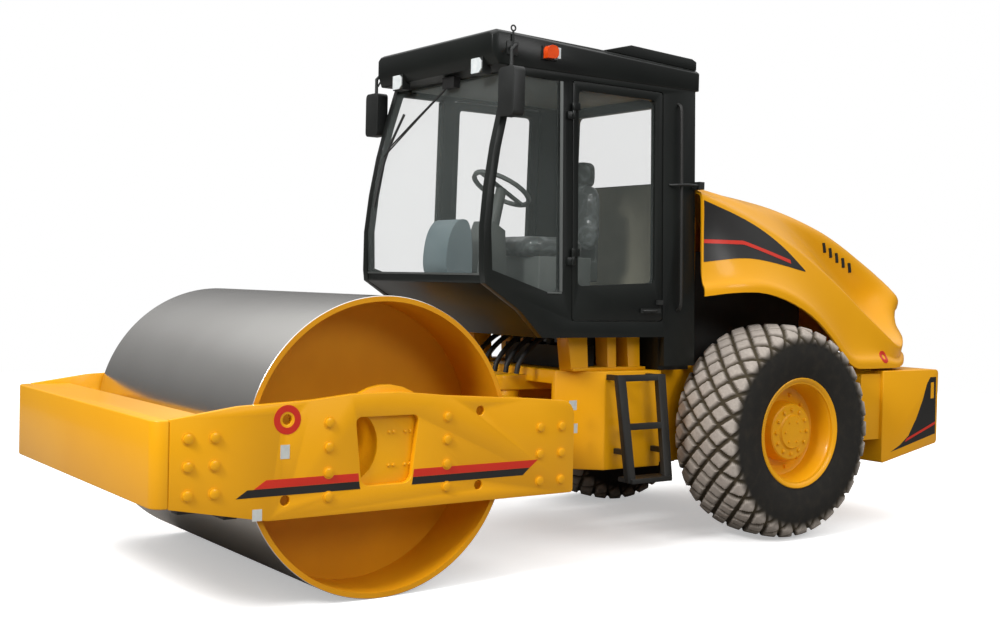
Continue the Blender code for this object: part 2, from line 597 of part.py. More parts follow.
def steering_column(paint):
    """Sloping column on the floor with the steering wheel at its head."""
    foot = Vector((0.0, 1.34, 1.60))
    head = Vector((0.0, 1.50, 2.30))
    up = Vector((0.0, 0.50, 0.87)).normalized()
    column = bar("steering_column", foot, head, 0.035, 12, paint)
    cover = prism("cover", [(1.20, 1.555), (1.345, 1.4203), (1.50, 1.4203), (1.46, 2.02), (1.36, 2.08), (1.25, 1.80)],
                  "X", -0.11, 0.11)
    ring = lathe("ring", [(-0.012, 0.185), (-0.012, 0.21), (0.012, 0.21), (0.012, 0.185)], "X", (0, 0, 0), 24)
    spoke = box("spoke", (-0.008, 0.008), (-0.19, 0.19), (-0.02, 0.02))
    for part in (ring, spoke):
        part.data.transform(up.to_track_quat("X", "Y").to_matrix().to_4x4())
        part.data.transform(Matrix.Translation(head))
    return joined(column, cover, ring, spoke)


def mirror(paint):
    """Mirror housing on a bent arm from the roof's front corner."""
    arm = pipe("mirror_left", [(0.660, 1.06, 3.08), (0.785, 1.02, 3.08), (0.785, 0.99, 3.05), (0.785, 0.99, 2.90)], 0.012)
    arm.data.materials.append(paint)
    plate = box("plate", (ROOF_HALF + JOIN, ROOF_HALF + 0.014), (1.02, 1.10), (3.04, 3.12))
    arm = cut(arm, box("trim", (0.5, ROOF_HALF + JOIN), (0.9, 1.2), (2.9, 3.3)))
    head = rounded([(0.705, 2.66, 0.03), (0.865, 2.66, 0.03), (0.865, 2.95, 0.03), (0.705, 2.95, 0.03)])
    return joined(arm, plate, prism("head", head, "Y", 0.955, 1.035))


def ladder(paint):
    """Boarding ladder: front and rear posts (y at top, y at foot), a rung, a tread and the frame's brackets."""
    def post(name, top_y, foot_y):
        return prism(name, [(top_y - 0.032, 1.115), (top_y + 0.032, 1.115), (foot_y + 0.032, 0.43), (foot_y - 0.032, 0.43)],
                     "X", 0.78, 0.82, paint)

    made = post("ladder_left", 1.875, 1.985)
    made = joined(made, post("rear", 2.215, 2.300))
    for z, depth, y in ((1.075, 0.04, (1.86, 2.22)), (0.765, 0.04, (1.92, 2.27))):
        made = joined(made, box("bar", (0.785, 0.815), y, (z, z + depth)))
    made = joined(made, box("tread", (0.70, 0.84), (1.97, 2.31), (0.425, 0.455)))
    for z, y in ((1.075, 1.885), (1.075, 2.215), (0.60, 1.96), (0.60, 2.275)):
        made = joined(made, box("bracket", (0.68 + JOIN, 0.79), (y - 0.018, y + 0.018), (z + 0.003, z + 0.037)))
    return made


def hood_ring(row, wall):
    """One section of the hood, from its left lower edge over the top to its right one, drawn in by wall."""
    behind, top_z, top_x, ridge_x, ridge_z, side_x, low_z = row
    y = AXLE_Y + behind
    bulge_z = low_z + (ridge_z - low_z) * 0.4
    half = [(side_x - wall, low_z), ((side_x * 0.55 + ridge_x * 0.45) - wall, bulge_z), (ridge_x - wall, ridge_z - wall / 2),
            (top_x + 0.09 - wall * 0.7, top_z - 0.035 - wall * 0.7), (top_x - wall * 0.4, top_z - wall), (0.0, top_z + 0.012 - wall)]
    return [(x, y, z) for x, z in half] + [(-x, y, z) for x, z in reversed(half[:-1])]


def hood(paint):
    """One moulding: bonnet and both rear wings, open below, hinged at its rear edge."""
    outer = [hood_ring(row, 0.0) for row in HOOD]
    inner = [hood_ring(row, HOOD_WALL) for row in HOOD]
    inner[-1] = [(x, y - HOOD_WALL, z) for x, y, z in inner[-1]]
    inner[-2] = [(x, y - HOOD_WALL * 0.6, z) for x, y, z in inner[-2]]
    wide = len(outer[0])
    last = len(HOOD) - 1
    points = [p for ring in outer + inner for p in ring]

    def at(shell, i, j):
        return (shell * (last + 1) + i) * wide + j

    faces = []
    for i in range(last):
        for j in range(wide - 1):
            faces.append([at(0, i, j), at(0, i, j + 1), at(0, i + 1, j + 1), at(0, i + 1, j)])
            faces.append([at(1, i, j), at(1, i + 1, j), at(1, i + 1, j + 1), at(1, i, j + 1)])
        for j in (0, wide - 1):
            faces.append([at(0, i, j), at(0, i + 1, j), at(1, i + 1, j), at(1, i, j)])
    for j in range(wide - 1):
        faces.append([at(0, 0, j), at(0, 0, j + 1), at(1, 0, j + 1), at(1, 0, j)])
    faces.append([at(0, last, j) for j in range(wide)])
    faces.append([at(1, last, j) for j in range(wide)])
    faces.append([at(0, last, 0), at(0, last, wide - 1), at(1, last, wide - 1), at(1, last, 0)])
    cover = mesh_object("hood", points, faces, paint)
    y, z = HOOD_HINGE
    for side in (-1, 1):
        x = sorted((side * 0.30, side * 0.36))
        cover = joined(cover, box("arm", x, (y - 0.012, y + 0.012), (z, 1.26)),
                       bar("knuckle", (x[0], y, z), (x[1], y, z), 0.022, 12))
    return cover


def counterweight(paint):
    """Rear weight with its side cheeks, the boxes behind the wheels and the hood's hinge knuckles."""
    outline = rounded([(WEIGHT_Y, 0.437, 0.02), (REAR_Y, 0.556, 0.03), (REAR_Y, 1.105, 0.03), (WEIGHT_Y, 1.105, 0)])
    weight = prism("counterweight", outline, "X", -1.0, 1.0, paint)
    for side in (-1, 1):
        x = sorted((side * (FRAME_NARROW + 0.08), side * 0.97))
        weight = joined(weight, box("cheek", x, (WEIGHT_Y - 0.21, WEIGHT_Y + 0.09), (0.61, 1.085)))
        y, z = HOOD_HINGE
        x = sorted((side * (0.36 + JOIN), side * 0.42))
        weight = joined(weight, box("post", x, (y - 0.02, y + 0.02), (1.08, z)),
                        bar("knuckle", (x[0], y, z), (x[1], y, z), 0.022, 12))
    return weight


def place():
    """Shifts every piece from the drum's axle to the machine's own origin."""
    for made in bpy.data.objects:
        if made.type == "MESH":
            made.data.transform(Matrix.Translation((0, DRUM_Y, 0)))


def set_pivot(names, pivot):
    """Puts the origin of the named pieces on their joint's axis."""
    for name in names:
        made = bpy.data.objects[name]
        made.data.transform(Matrix.Translation(-Vector(pivot)))
        made.location = pivot


def smooth(names):
    for name in names:
        mesh = bpy.data.objects[name].data
        mesh.shade_smooth()
        mesh.set_sharp_from_angle(angle=math.radians(35))


def main():
    for made in list(bpy.data.objects):
        bpy.data.objects.remove(made)
    yellow = material("yellow_enamel", (0.82, 0.40, 0.02), 0.35)
    steel = material("drum_steel", (0.45, 0.45, 0.45), 0.35, 1.0)
    black = material("black_enamel", (0.02, 0.022, 0.02), 0.4)
    rubber = material("tyre_rubber", (0.05, 0.045, 0.04), 0.85)
    chrome = material("chromed_rod", (0.8, 0.8, 0.8), 0.15, 1.0)
    glass = material("cab_glass", (0.75, 0.80, 0.78), 0.05, 0.0, 0.3)
    cloth = material("seat_cloth", (0.12, 0.13, 0.13), 0.8)
    grey = material("grey_plastic", (0.15, 0.16, 0.16), 0.5)
    cast = material("engine_iron", (0.10, 0.10, 0.10), 0.6, 0.5)

    front_beam(yellow)
    mirrored(side_plate(yellow), "side_plate_right")
    rear_beam(yellow)
    hitch(yellow)
    drum_shell(steel)
    mirrored(drum_head(yellow), "drum_head_right")
    mirrored(drum_carrier(yellow), "drum_carrier_right")
    scraper("scraper_front", -1, black)
    scraper("scraper_rear", 1, black)

    rear_frame(yellow)
    barrel, rod = steering_cylinder(black, chrome)
    mirrored(barrel, "steering_barrel_right")
    mirrored(rod, "steering_rod_right")
    rear_axle(yellow)
    mirrored(rim(yellow), "rim_right")
    mirrored(tyre(rubber), "tyre_right")
    counterweight(yellow)
    hood(yellow)
    box("engine_block", (-0.33, 0.33), (AXLE_Y - 0.25, AXLE_Y + 0.85), (FRAME_TOP + JOIN, 1.93), cast)
    box("bulkhead", (-0.60, 0.60), (AXLE_Y - 0.54, AXLE_Y - 0.50), (FRAME_TOP + JOIN, 2.15), yellow)
    mirrored(cab_mount(yellow), "cab_mount_right")

    cab_floor(black)
    mirrored(cab_side(black), "cab_side_right")
    cab_rear_wall(black)
    roof(black)
    roof_unit(black)
    windscreen(glass)
    mirrored(quarter_glass(glass), "quarter_glass_right")
    rear_glass(glass)
    mirrored(door(black), "door_right")
    mirrored(door_glass(glass), "door_glass_right")
    seat(cloth, grey)
    steering_column(grey)
    mirrored(mirror(black), "mirror_right")
    mirrored(ladder(black), "ladder_right")

    place()
    drum_axis = (0, DRUM_Y, DRUM_RADIUS)
    set_pivot(["drum_shell", "drum_head_left", "drum_head_right"], drum_axis)
    for side, sign in (("left", 1), ("right", -1)):
        wheel = (sign * WHEEL_PLANE, DRUM_Y + AXLE_Y, WHEEL_RADIUS)
        set_pivot(["rim_" + side, "tyre_" + side], wheel)
        hinge = (sign * HINGE_X, DRUM_Y + HINGE_Y, CAB_SILL)
        set_pivot(["door_" + side, "door_glass_" + side], hinge)
        set_pivot(["steering_barrel_" + side], (sign * STEER_REAR[0], DRUM_Y + STEER_REAR[1], STEER_Z))
    set_pivot(["hood"], (0, DRUM_Y + HOOD_HINGE[0], HOOD_HINGE[1]))
    set_pivot(["front_beam", "side_plate_left", "side_plate_right", "rear_beam", "hitch"],
              (0, DRUM_Y + PIVOT_Y, HITCH_LOW))
    smooth(["drum_shell", "tyre_left", "tyre_right", "rim_left", "rim_right", "hood"])


main()
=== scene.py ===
import json
import math
import bmesh
import bpy
import numpy as np
from mathutils import Matrix, Vector


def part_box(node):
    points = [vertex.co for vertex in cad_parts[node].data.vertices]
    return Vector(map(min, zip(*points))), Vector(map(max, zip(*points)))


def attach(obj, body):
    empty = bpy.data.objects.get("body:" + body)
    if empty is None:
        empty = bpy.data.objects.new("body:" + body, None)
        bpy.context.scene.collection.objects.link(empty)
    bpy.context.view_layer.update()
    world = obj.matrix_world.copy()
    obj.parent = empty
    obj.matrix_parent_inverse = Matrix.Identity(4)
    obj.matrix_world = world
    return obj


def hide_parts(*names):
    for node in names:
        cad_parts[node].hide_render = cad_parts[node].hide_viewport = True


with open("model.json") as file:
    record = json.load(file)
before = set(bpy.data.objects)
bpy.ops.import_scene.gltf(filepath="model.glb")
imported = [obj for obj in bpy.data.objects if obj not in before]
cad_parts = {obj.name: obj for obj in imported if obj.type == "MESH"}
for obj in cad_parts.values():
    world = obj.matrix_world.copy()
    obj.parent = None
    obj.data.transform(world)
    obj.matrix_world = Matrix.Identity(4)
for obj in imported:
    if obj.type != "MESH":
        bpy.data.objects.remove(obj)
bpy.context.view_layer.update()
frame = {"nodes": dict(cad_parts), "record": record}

# Road roller with one steel drum. Lengths in metres, left side +X, front -Y. Most places below are given as
# (x, distance behind the drum's axle, z).
bodyOf = {node: body for body, nodes in frame["record"]["behaviour"]["bodies"].items() for node in nodes}
drumLow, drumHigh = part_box("drum_shell")
drumY = (drumLow.y + drumHigh.y) / 2
drumRadius = (drumHigh.z - drumLow.z) / 2
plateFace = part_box("side_plate_left")[1].x


def at(x, behind, z):
    # a place in the frame: the distance behind the drum's axle, moved by where that axle is
    return np.array([x, behind + drumY, z], float)


def srgb(hexText):
    # each channel over 255, then the sRGB curve undone: a straight foot, and a power of 2.4 above it
    value = np.array([int(hexText[i:i + 2], 16) for i in (1, 3, 5)]) / 255
    linear = np.where(value <= 0.04045, value / 12.92, ((value + 0.055) / 1.055) ** 2.4)
    return (*linear.tolist(), 1.0)


def addNode(tree, kind, settings=None, links=None):
    # one node with its settings (node properties or input values) and the sockets that feed it
    node = tree.nodes.new(kind)
    for key, value in (settings or {}).items():
        if isinstance(key, str) and hasattr(node, key):
            setattr(node, key, value)
        else:
            node.inputs[key].default_value = value
    for key, socket in (links or {}).items():
        tree.links.new(socket, node.inputs[key])
    return node


def newMaterial(name, settings):
    # a principled shader with its settings, and the piece's own coordinates in metres
    material = bpy.data.materials.new(name)
    material.use_nodes = True
    tree = material.node_tree
    shader = tree.nodes["Principled BSDF"]
    for key, value in settings.items():
        shader.inputs[key].default_value = value
    coords = tree.nodes.new("ShaderNodeTexCoord").outputs["Object"]
    return material, tree, shader, coords


def mottled(name, tone, drift, roughRange, patchSize, grainSize, depth, settings=None):
    # colour drifts between two tones over broad patches, roughness drifts with it over its range, and a fine
    # grain of a given size gives the bump, as strong as the depth says
    material, tree, shader, coords = newMaterial(name, settings or {})
    patch = addNode(tree, "ShaderNodeTexNoise", {"Scale": 1 / patchSize, "Detail": 4.0}, {"Vector": coords})
    spread = addNode(tree, "ShaderNodeMapRange", {"From Min": 0.35, "From Max": 0.65},
                     {"Value": patch.outputs["Fac"]})
    colour = addNode(tree, "ShaderNodeMix", {"data_type": "RGBA", 6: srgb(tone), 7: srgb(drift)},
                   {0: spread.outputs[0]})
    tree.links.new(colour.outputs[2], shader.inputs["Base Color"])
    rough = addNode(tree, "ShaderNodeMapRange", {"To Min": roughRange[0], "To Max": roughRange[1]},
                    {"Value": patch.outputs["Fac"]})
    tree.links.new(rough.outputs[0], shader.inputs["Roughness"])
    grain = addNode(tree, "ShaderNodeTexNoise", {"Scale": 1 / grainSize, "Detail": 2.0}, {"Vector": coords})
    bump = addNode(tree, "ShaderNodeBump", {"Strength": depth, "Distance": 0.002},
                   {"Height": grain.outputs["Fac"]})
    tree.links.new(bump.outputs["Normal"], shader.inputs["Normal"])
    return material


# two-pack polyurethane enamel sprayed on steel: deep colour, faint orange peel, clear gloss
yellowEnamel = mottled("yellowEnamel", "#EBA60C", "#E6A00A", (0.3, 0.4), 0.9, 0.012, 0.05,
                       {"Specular IOR Level": 0.25, "Coat Weight": 0.15, "Coat Roughness": 0.12})
# the same enamel sprayed thin inside the drum and on castings, flatter and a little darker
yellowPrimer = mottled("yellowEnamelThin", "#DD980C", "#D6900A", (0.45, 0.6), 0.35, 0.006, 0.15,
                       {"Specular IOR Level": 0.25})
# satin charcoal enamel on the cab's steel, with a soft grey sheen
charcoalEnamel = mottled("charcoalEnamel", "#141615", "#1A1D1B", (0.3, 0.42), 0.7, 0.01, 0.06,
                         {"Specular IOR Level": 0.22, "Coat Weight": 0.08, "Coat Roughness": 0.2})
# hard-wearing black enamel on steps, cylinders and scrapers
blackEnamel = mottled("blackStepEnamel", "#161614", "#1F1E1B", (0.42, 0.58), 0.25, 0.004, 0.2)
# injection-moulded ABS, fine spark-eroded texture
greyAbs = mottled("greyAbs", "#4E5350", "#5A5F5B", (0.5, 0.62), 0.2, 0.002, 0.3)
blueGreyAbs = mottled("blueGreyAbs", "#5F6F73", "#6C7B7E", (0.45, 0.6), 0.2, 0.002, 0.3)
blackAbs = mottled("blackAbs", "#151716", "#1D1F1E", (0.42, 0.55), 0.2, 0.002, 0.25)
# pressed fibre trim board with a warm grey skin
trimBoard = mottled("trimBoard", "#8F8C79", "#858270", (0.6, 0.75), 0.3, 0.003, 0.3)
# extruded EPDM rubber on hoses and seals
rubberHose = mottled("hoseRubber", "#121212", "#1B1A19", (0.5, 0.65), 0.08, 0.002, 0.3)
# anodised aluminium section
trimAluminium = mottled("anodisedAluminium", "#A9ADAA", "#9DA19F", (0.3, 0.4), 0.2, 0.001, 0.05,
                        {"Metallic": 1.0})
# hard chrome on a ground rod
chromedRod = mottled("hardChrome", "#C9CBCC", "#C2C4C5", (0.06, 0.12), 0.1, 0.001, 0.02,
                     {"Metallic": 1.0})
# sand-cast grey iron, painted dark
castIron = mottled("greyIron", "#2B2C2B", "#353635", (0.6, 0.8), 0.15, 0.003, 0.5)
# cast vinyl films laid on the enamel
redFilm = mottled("redVinylFilm", "#CF2A14", "#C82611", (0.3, 0.38), 0.3, 0.004, 0.02)
blackFilm = mottled("blackVinylFilm", "#171615", "#1D1B1A", (0.3, 0.4), 0.3, 0.004, 0.02)
greyFilm = mottled("paleVinylFilm", "#C9CCC8", "#BFC3C0", (0.35, 0.45), 0.03, 0.004, 0.02)
# moulded acrylic lenses
orangeLens = mottled("orangeAcrylic", "#F0520E", "#E2480B", (0.12, 0.2), 0.05, 0.006, 0.3,
                     {"Coat Weight": 0.8})
clearLens = mottled("frostedLens", "#E9EEEE", "#D9E0E2", (0.12, 0.2), 0.04, 0.006, 0.4,
                    {"Coat Weight": 0.8})
# silvered mirror glass
mirrorGlass = mottled("silveredGlass", "#C8CED0", "#C4CACC", (0.03, 0.05), 0.1, 0.01, 0.0,
                      {"Metallic": 1.0})


def tintedGlass():
    # toughened float glass, faint green-grey tint, clear enough to see through both sides of the cab
    material, tree, shader, coords = newMaterial("tintedCabGlass", {
        "Roughness": 0.03, "IOR": 1.5, "Alpha": 0.08, "Specular IOR Level": 0.8})
    film = addNode(tree, "ShaderNodeTexNoise", {"Scale": 1.2, "Detail": 2.0}, {"Vector": coords})
    tint = addNode(tree, "ShaderNodeMix", {"data_type": "RGBA", 6: srgb("#8A9491"), 7: srgb("#A0A8A5")},
                   {0: film.outputs["Fac"]})
    tree.links.new(tint.outputs[2], shader.inputs["Base Color"])
    return material


def rolledSteel():
    # mild steel plate rolled and turned on a lathe: fine rings round the drum, and broad dull and bright bands
    material, tree, shader, coords = newMaterial("turnedDrumSteel", {"Metallic": 1.0})
    stretch = addNode(tree, "ShaderNodeMapping", {"Scale": (1.0, 0.02, 0.02)}, {"Vector": coords})
    rings = addNode(tree, "ShaderNodeTexNoise", {"Scale": 220.0, "Detail": 3.0}, {"Vector": stretch.outputs[0]})
    patches = addNode(tree, "ShaderNodeTexNoise", {"Scale": 1.6, "Detail": 5.0}, {"Vector": coords})
    tone = addNode(tree, "ShaderNodeMix", {"data_type": "RGBA", 6: srgb("#EDEBE7"), 7: srgb("#DEDBD6")},
                   {0: patches.outputs["Fac"]})
    tree.links.new(tone.outputs[2], shader.inputs["Base Color"])
    rough = addNode(tree, "ShaderNodeMapRange", {"To Min": 0.16, "To Max": 0.24}, {"Value": rings.outputs["Fac"]})
    tree.links.new(rough.outputs[0], shader.inputs["Roughness"])
    bump = addNode(tree, "ShaderNodeBump", {"Strength": 0.08, "Distance": 0.001},
                   {"Height": rings.outputs["Fac"]})
    tree.links.new(bump.outputs["Normal"], shader.inputs["Normal"])
    return material


def treadRubber():
    # vulcanised carbon-black rubber: the tops of the blocks painted pale as a painted highlight, the grooves
    # painted dark brown as painted shade, dark sidewall
    material, tree, shader, coords = newMaterial("tyreRubber", {"Roughness": 0.8, "Specular IOR Level": 0.3})
    top = addNode(tree, "ShaderNodeAttribute", {"attribute_name": "blockTop"}).outputs["Fac"]
    band = addNode(tree, "ShaderNodeAttribute", {"attribute_name": "treadBand"}).outputs["Fac"]
    rubberMottle = addNode(tree, "ShaderNodeTexNoise", {"Scale": 14.0, "Detail": 6.0}, {"Vector": coords})
    blockMottle = addNode(tree, "ShaderNodeTexNoise", {"Scale": 60.0, "Detail": 4.0}, {"Vector": coords})
    # grooves painted dark brown: painted shade in the recesses between the blocks
    groove = addNode(tree, "ShaderNodeMix", {"data_type": "RGBA", 6: srgb("#3A3226"), 7: srgb("#4C4331")},
                     {0: rubberMottle.outputs["Fac"]})
    # block tops painted pale: painted highlight where the tops face the lamps
    block = addNode(tree, "ShaderNodeMix", {"data_type": "RGBA", 6: srgb("#9A9087"), 7: srgb("#BDB4AB")},
                    {0: blockMottle.outputs["Fac"]})
    # the block-top mask mixes the painted highlight on the tops with the painted shade in the grooves
    litTopsShadedGrooves = addNode(tree, "ShaderNodeMix", {"data_type": "RGBA"},
                   {0: top, 6: groove.outputs[2], 7: block.outputs[2]})
    wall = addNode(tree, "ShaderNodeMix", {"data_type": "RGBA", 6: srgb("#171615"), 7: srgb("#27241F")},
                   {0: rubberMottle.outputs["Fac"]})
    shoulder = addNode(tree, "ShaderNodeMath", {"operation": "MULTIPLY_ADD", 1: 0.5, 2: -0.25},
                       {0: rubberMottle.outputs["Fac"]})
    edge = addNode(tree, "ShaderNodeMath", {"operation": "ADD", "use_clamp": True},
                   {0: band, 1: shoulder.outputs[0]})
    colour = addNode(tree, "ShaderNodeMix", {"data_type": "RGBA"},
                     {0: edge.outputs[0], 6: wall.outputs[2], 7: litTopsShadedGrooves.outputs[2]})
    tree.links.new(colour.outputs[2], shader.inputs["Base Color"])
    bump = addNode(tree, "ShaderNodeBump", {"Strength": 0.35, "Distance": 0.003}, {"Height": blockMottle.outputs["Fac"]})
    tree.links.new(bump.outputs["Normal"], shader.inputs["Normal"])
    return material


def wrappedSeatCloth():
    # dark woven seat cloth under clear polythene wrap: 5 mm weave (coarser than real so that it shows),
    # crinkled gloss
    material, tree, shader, coords = newMaterial("wrappedSeatCloth", {
        "Roughness": 0.75, "Coat Weight": 0.7, "Coat Roughness": 0.16, "Sheen Weight": 0.2})
    weave = addNode(tree, "ShaderNodeTexChecker",
                    {"Scale": 200.0, "Color1": srgb("#3E4442"), "Color2": srgb("#343937")},
                    {"Vector": coords})
    film = addNode(tree, "ShaderNodeTexNoise", {"Scale": 9.0, "Detail": 5.0, "Distortion": 1.6},
                   {"Vector": coords})
    haze = addNode(tree, "ShaderNodeMapRange", {"From Min": 0.5, "From Max": 0.72, "To Max": 0.55},
                   {"Value": film.outputs["Fac"]})
    tone = addNode(tree, "ShaderNodeMix", {"data_type": "RGBA", 7: srgb("#7B8583")},
                   {0: haze.outputs[0], 6: weave.outputs["Color"]})
    tree.links.new(tone.outputs[2], shader.inputs["Base Color"])
    bump = addNode(tree, "ShaderNodeBump", {"Strength": 0.8, "Distance": 0.012}, {"Height": film.outputs["Fac"]})
    tree.links.new(bump.outputs["Normal"], shader.inputs["Coat Normal"])
    return material


cabGlass = tintedGlass()
drumSteel = rolledSteel()
tyreRubber = treadRubber()
seatCloth = wrappedSeatCloth()
print("materials ready")


# Each mesh shape below is (points, list of face arrays).
def gridShape(points, wrapRows=False, wrapCols=False, caps=False):
    # quads between neighbouring points of a rows x columns grid, with the first and last row closed where asked
    rows, cols = points.shape[:2]
    i = np.arange(rows if wrapRows else rows - 1)[:, None]
    j = np.arange(cols if wrapCols else cols - 1)[None, :]
    a, b = i * cols + j, i * cols + (j + 1) % cols
    c, d = ((i + 1) % rows) * cols + (j + 1) % cols, ((i + 1) % rows) * cols + j
    faces = [np.stack([a, b, c, d], -1).reshape(-1, 4)]
    if caps:
        faces += [np.arange(cols)[None, ::-1], (rows - 1) * cols + np.arange(cols)[None, :]]
    return points.reshape(-1, 3), faces


def latheShape(profile, centre, steps):
    # each (x, radius) of the profile goes round the X axis through centre
    profile = np.array(profile, float)
    angle = np.linspace(0, 2 * np.pi, steps, endpoint=False)
    x = centre[0] + profile[:, 0, None] + 0 * angle
    y = centre[1] + profile[:, 1, None] * np.cos(angle)
    z = centre[2] + profile[:, 1, None] * np.sin(angle)
    return np.stack([x, y, z], -1)


def plateShape(outline, origin, across, up, depth):
    # a flat outline (a, b) laid at origin + a across + b up, and carried along depth
    outline = np.array(outline, float)
    face = np.array(origin, float) + outline[:, :1] * np.array(across,
                                                               float) + outline[:, 1:] * np.array(up, float)
    return gridShape(np.stack([face, face + np.array(depth, float)]), wrapCols=True, caps=True)


def blockShape(low, high):
    # a box between two opposite corners
    low, high = np.array(low, float), np.array(high, float)
    size = high - low
    return plateShape([(0, 0), (1, 0), (1, 1), (0, 1)], low, (size[0], 0, 0), (0, size[1], 0), (0, 0, size[2]))


def tubeShape(path, radius, sides=12):
    # a circle carried along the path, its frame turned as little as possible from point to point
    path = np.array(path, float)
    tangent = np.gradient(path, axis=0)
    tangent /= np.linalg.norm(tangent, axis=1)[:, None]
    normal = np.cross(tangent[0], (0.3, 0.2, 0.9))
    frames = []
    for t in tangent:
        normal = normal - t * (normal @ t)
        normal = normal / np.linalg.norm(normal)
        frames.append((normal, np.cross(t, normal)))
    frames = np.array(frames)
    angle = np.linspace(0, 2 * np.pi, sides, endpoint=False)
    ring = np.cos(angle)[None, :, None] * frames[:, None, 0] + np.sin(angle)[None, :, None] * frames[:, None, 1]
    return gridShape(path[:, None] + radius * ring, wrapCols=True, caps=True)


def smoothPath(points, times=3):
    # corners cut at a quarter and three quarters of each side, again and again, with both ends kept
    points = np.array(points, float)
    for _ in range(times):
        cutPoints = np.stack([0.75 * points[:-1] + 0.25 * points[1:], 0.25 * points[:-1] + 0.75 * points[1:]], 1)
        points = np.concatenate([points[:1], cutPoints.reshape(-1, *points.shape[1:]), points[-1:]])
    return points


def together(*shapes):
    # shapes joined in one list, each one's face numbers raised by the points before it
    points, faces, count = [], [], 0
    for shapePoints, shapeFaces in shapes:
        points.append(shapePoints)
        faces += [face + count for face in shapeFaces]
        count += len(shapePoints)
    return np.concatenate(points), faces


def copiesAt(shape, places):
    # one small shape copied to each place
    return together(*[(shape[0] + np.array(place), shape[1]) for place in places])


def mirroredShape(shape):
    # every x with its sign changed
    return shape[0] * (-1, 1, 1), shape[1]


def turnOutward(mesh, weld=False):
    # faces turned to point out, after joining the points that lie together and the faces that lie in one plane
    work = bmesh.new()
    work.from_mesh(mesh)
    if weld:
        bmesh.ops.remove_doubles(work, verts=work.verts, dist=2e-5)
        bmesh.ops.dissolve_limit(work, angle_limit=math.radians(1.0), verts=work.verts, edges=work.edges)
    bmesh.ops.recalc_face_normals(work, faces=work.faces)
    work.to_mesh(mesh)
    work.free()


def newPiece(name, shape, *materials):
    # a shape made an object in the scene
    mesh = bpy.data.meshes.new(name)
    mesh.from_pydata(shape[0], [], [face for group in shape[1] for face in group.tolist()])
    turnOutward(mesh)
    for material in materials:
        mesh.materials.append(material)
    piece = bpy.data.objects.new(name, mesh)
    bpy.context.collection.objects.link(piece)
    return piece


def settled(piece, body, replaces=(), sharp=35):
    # smooth shading up to the sharp angle, then the piece's body and the CAD nodes it stands for
    piece.data.polygons.foreach_set("use_smooth", np.ones(len(piece.data.polygons), bool))
    piece.data.set_sharp_from_angle(angle=math.radians(sharp))
    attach(piece, body)
    if replaces:
        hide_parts(*replaces)


def addPiece(name, shape, material, body, replaces=(), sharp=35):
    # a new piece with one material, settled on its body
    settled(newPiece(name, shape, material), body, replaces, sharp)


def bothSides(name, shape, material, body="rear_frame"):
    # the left piece as given, and its mirror image on the right
    addPiece(name + "_left", shape, material, body)
    addPiece(name + "_right", mirroredShape(shape), material, body)


def pointsOf(piece):
    # every point's place, one row each
    values = np.empty(len(piece.data.vertices) * 3, np.float32)
    piece.data.vertices.foreach_get("co", values)
    return values.reshape(-1, 3).astype(float)


def applied(piece):
    # the piece's modifiers made part of its mesh
    graph = bpy.context.evaluated_depsgraph_get()
    mesh = bpy.data.meshes.new_from_object(piece.evaluated_get(graph))
    piece.modifiers.clear()
    piece.data = mesh


def softened(nodeName, material, width):
    # a CAD plate or casting with its corners ground round, so that its edges catch the light
    source = frame["nodes"][nodeName]
    piece = bpy.data.objects.new("soft_" + nodeName, source.data.copy())
    bpy.context.collection.objects.link(piece)
    turnOutward(piece.data, weld=True)
    bevel = piece.modifiers.new("edge", "BEVEL")
    bevel.width = width
    bevel.segments = 2
    bevel.limit_method = "ANGLE"
    bevel.angle_limit = math.radians(32)
    bevel.use_clamp_overlap = True
    applied(piece)
    piece.data.materials.clear()
    piece.data.materials.append(material)
    settled(piece, bodyOf[nodeName], (nodeName,), 40)


def finishNode(nodeName, material):
    # the material put in every slot of a CAD node that stays in view
    node = frame["nodes"][nodeName]
    if not node.material_slots:
        node.data.materials.append(material)
    for slot in node.material_slots:
        slot.material = material


plates = {
    "yellow": ["front_beam", "side_plate_left", "side_plate_right", "rear_beam", "hitch", "rear_frame",
               "rear_axle",
               "counterweight", "bulkhead", "cab_mount_left", "cab_mount_right", "drum_carrier_left",
               "drum_carrier_right"],
    "cab": ["cab_floor", "cab_side_left", "cab_side_right", "cab_rear_wall", "roof", "roof_unit", "door_left",
            "door_right"],
    "black": ["scraper_front", "scraper_rear", "steering_barrel_left", "steering_barrel_right", "ladder_left",
              "ladder_right", "mirror_left", "mirror_right"],
    "grey": ["seat_base", "steering_column"],
}
for name in plates["yellow"]:
    softened(name, yellowEnamel, 0.008)
for name in plates["cab"]:
    softened(name, charcoalEnamel, 0.006)
for name in plates["black"]:
    softened(name, blackAbs if "mirror" in name else blackEnamel, 0.005)
for name in plates["grey"]:
    softened(name, greyAbs, 0.008)
for name in ("windscreen", "quarter_glass_left", "quarter_glass_right", "rear_glass", "door_glass_left",
             "door_glass_right"):
    finishNode(name, cabGlass)
finishNode("engine_block", castIron)
for side in ("left", "right"):
    finishNode("steering_rod_" + side, chromedRod)
    finishNode("drum_head_" + side, yellowPrimer)
print("plates softened")


drum = {"half": (drumHigh.x - drumLow.x) / 2, "wall": 0.03, "chamfer": 0.003, "steps": 288}


def drumSkin():
    # turned shell: the outer skin is bare steel, the rim and the inside are painted
    half, r, wall, c = drum["half"], drumRadius, drum["wall"], drum["chamfer"]
    profile = [(-half, r - wall), (-half, r - c), (-half + c, r), (half - c, r), (half, r - c), (half, r - wall)]
    rings = latheShape(profile, at(0, 0, drumRadius), drum["steps"])

    skin = newPiece("drum_skin", gridShape(rings, wrapRows=True, wrapCols=True), drumSteel, yellowPrimer)
    paint = np.repeat([1, 0, 0, 0, 1, 1], drum["steps"]).astype(np.int32)
    skin.data.polygons.foreach_set("material_index", paint)
    settled(skin, "drum", ("drum_shell",), 30)


drumSkin()


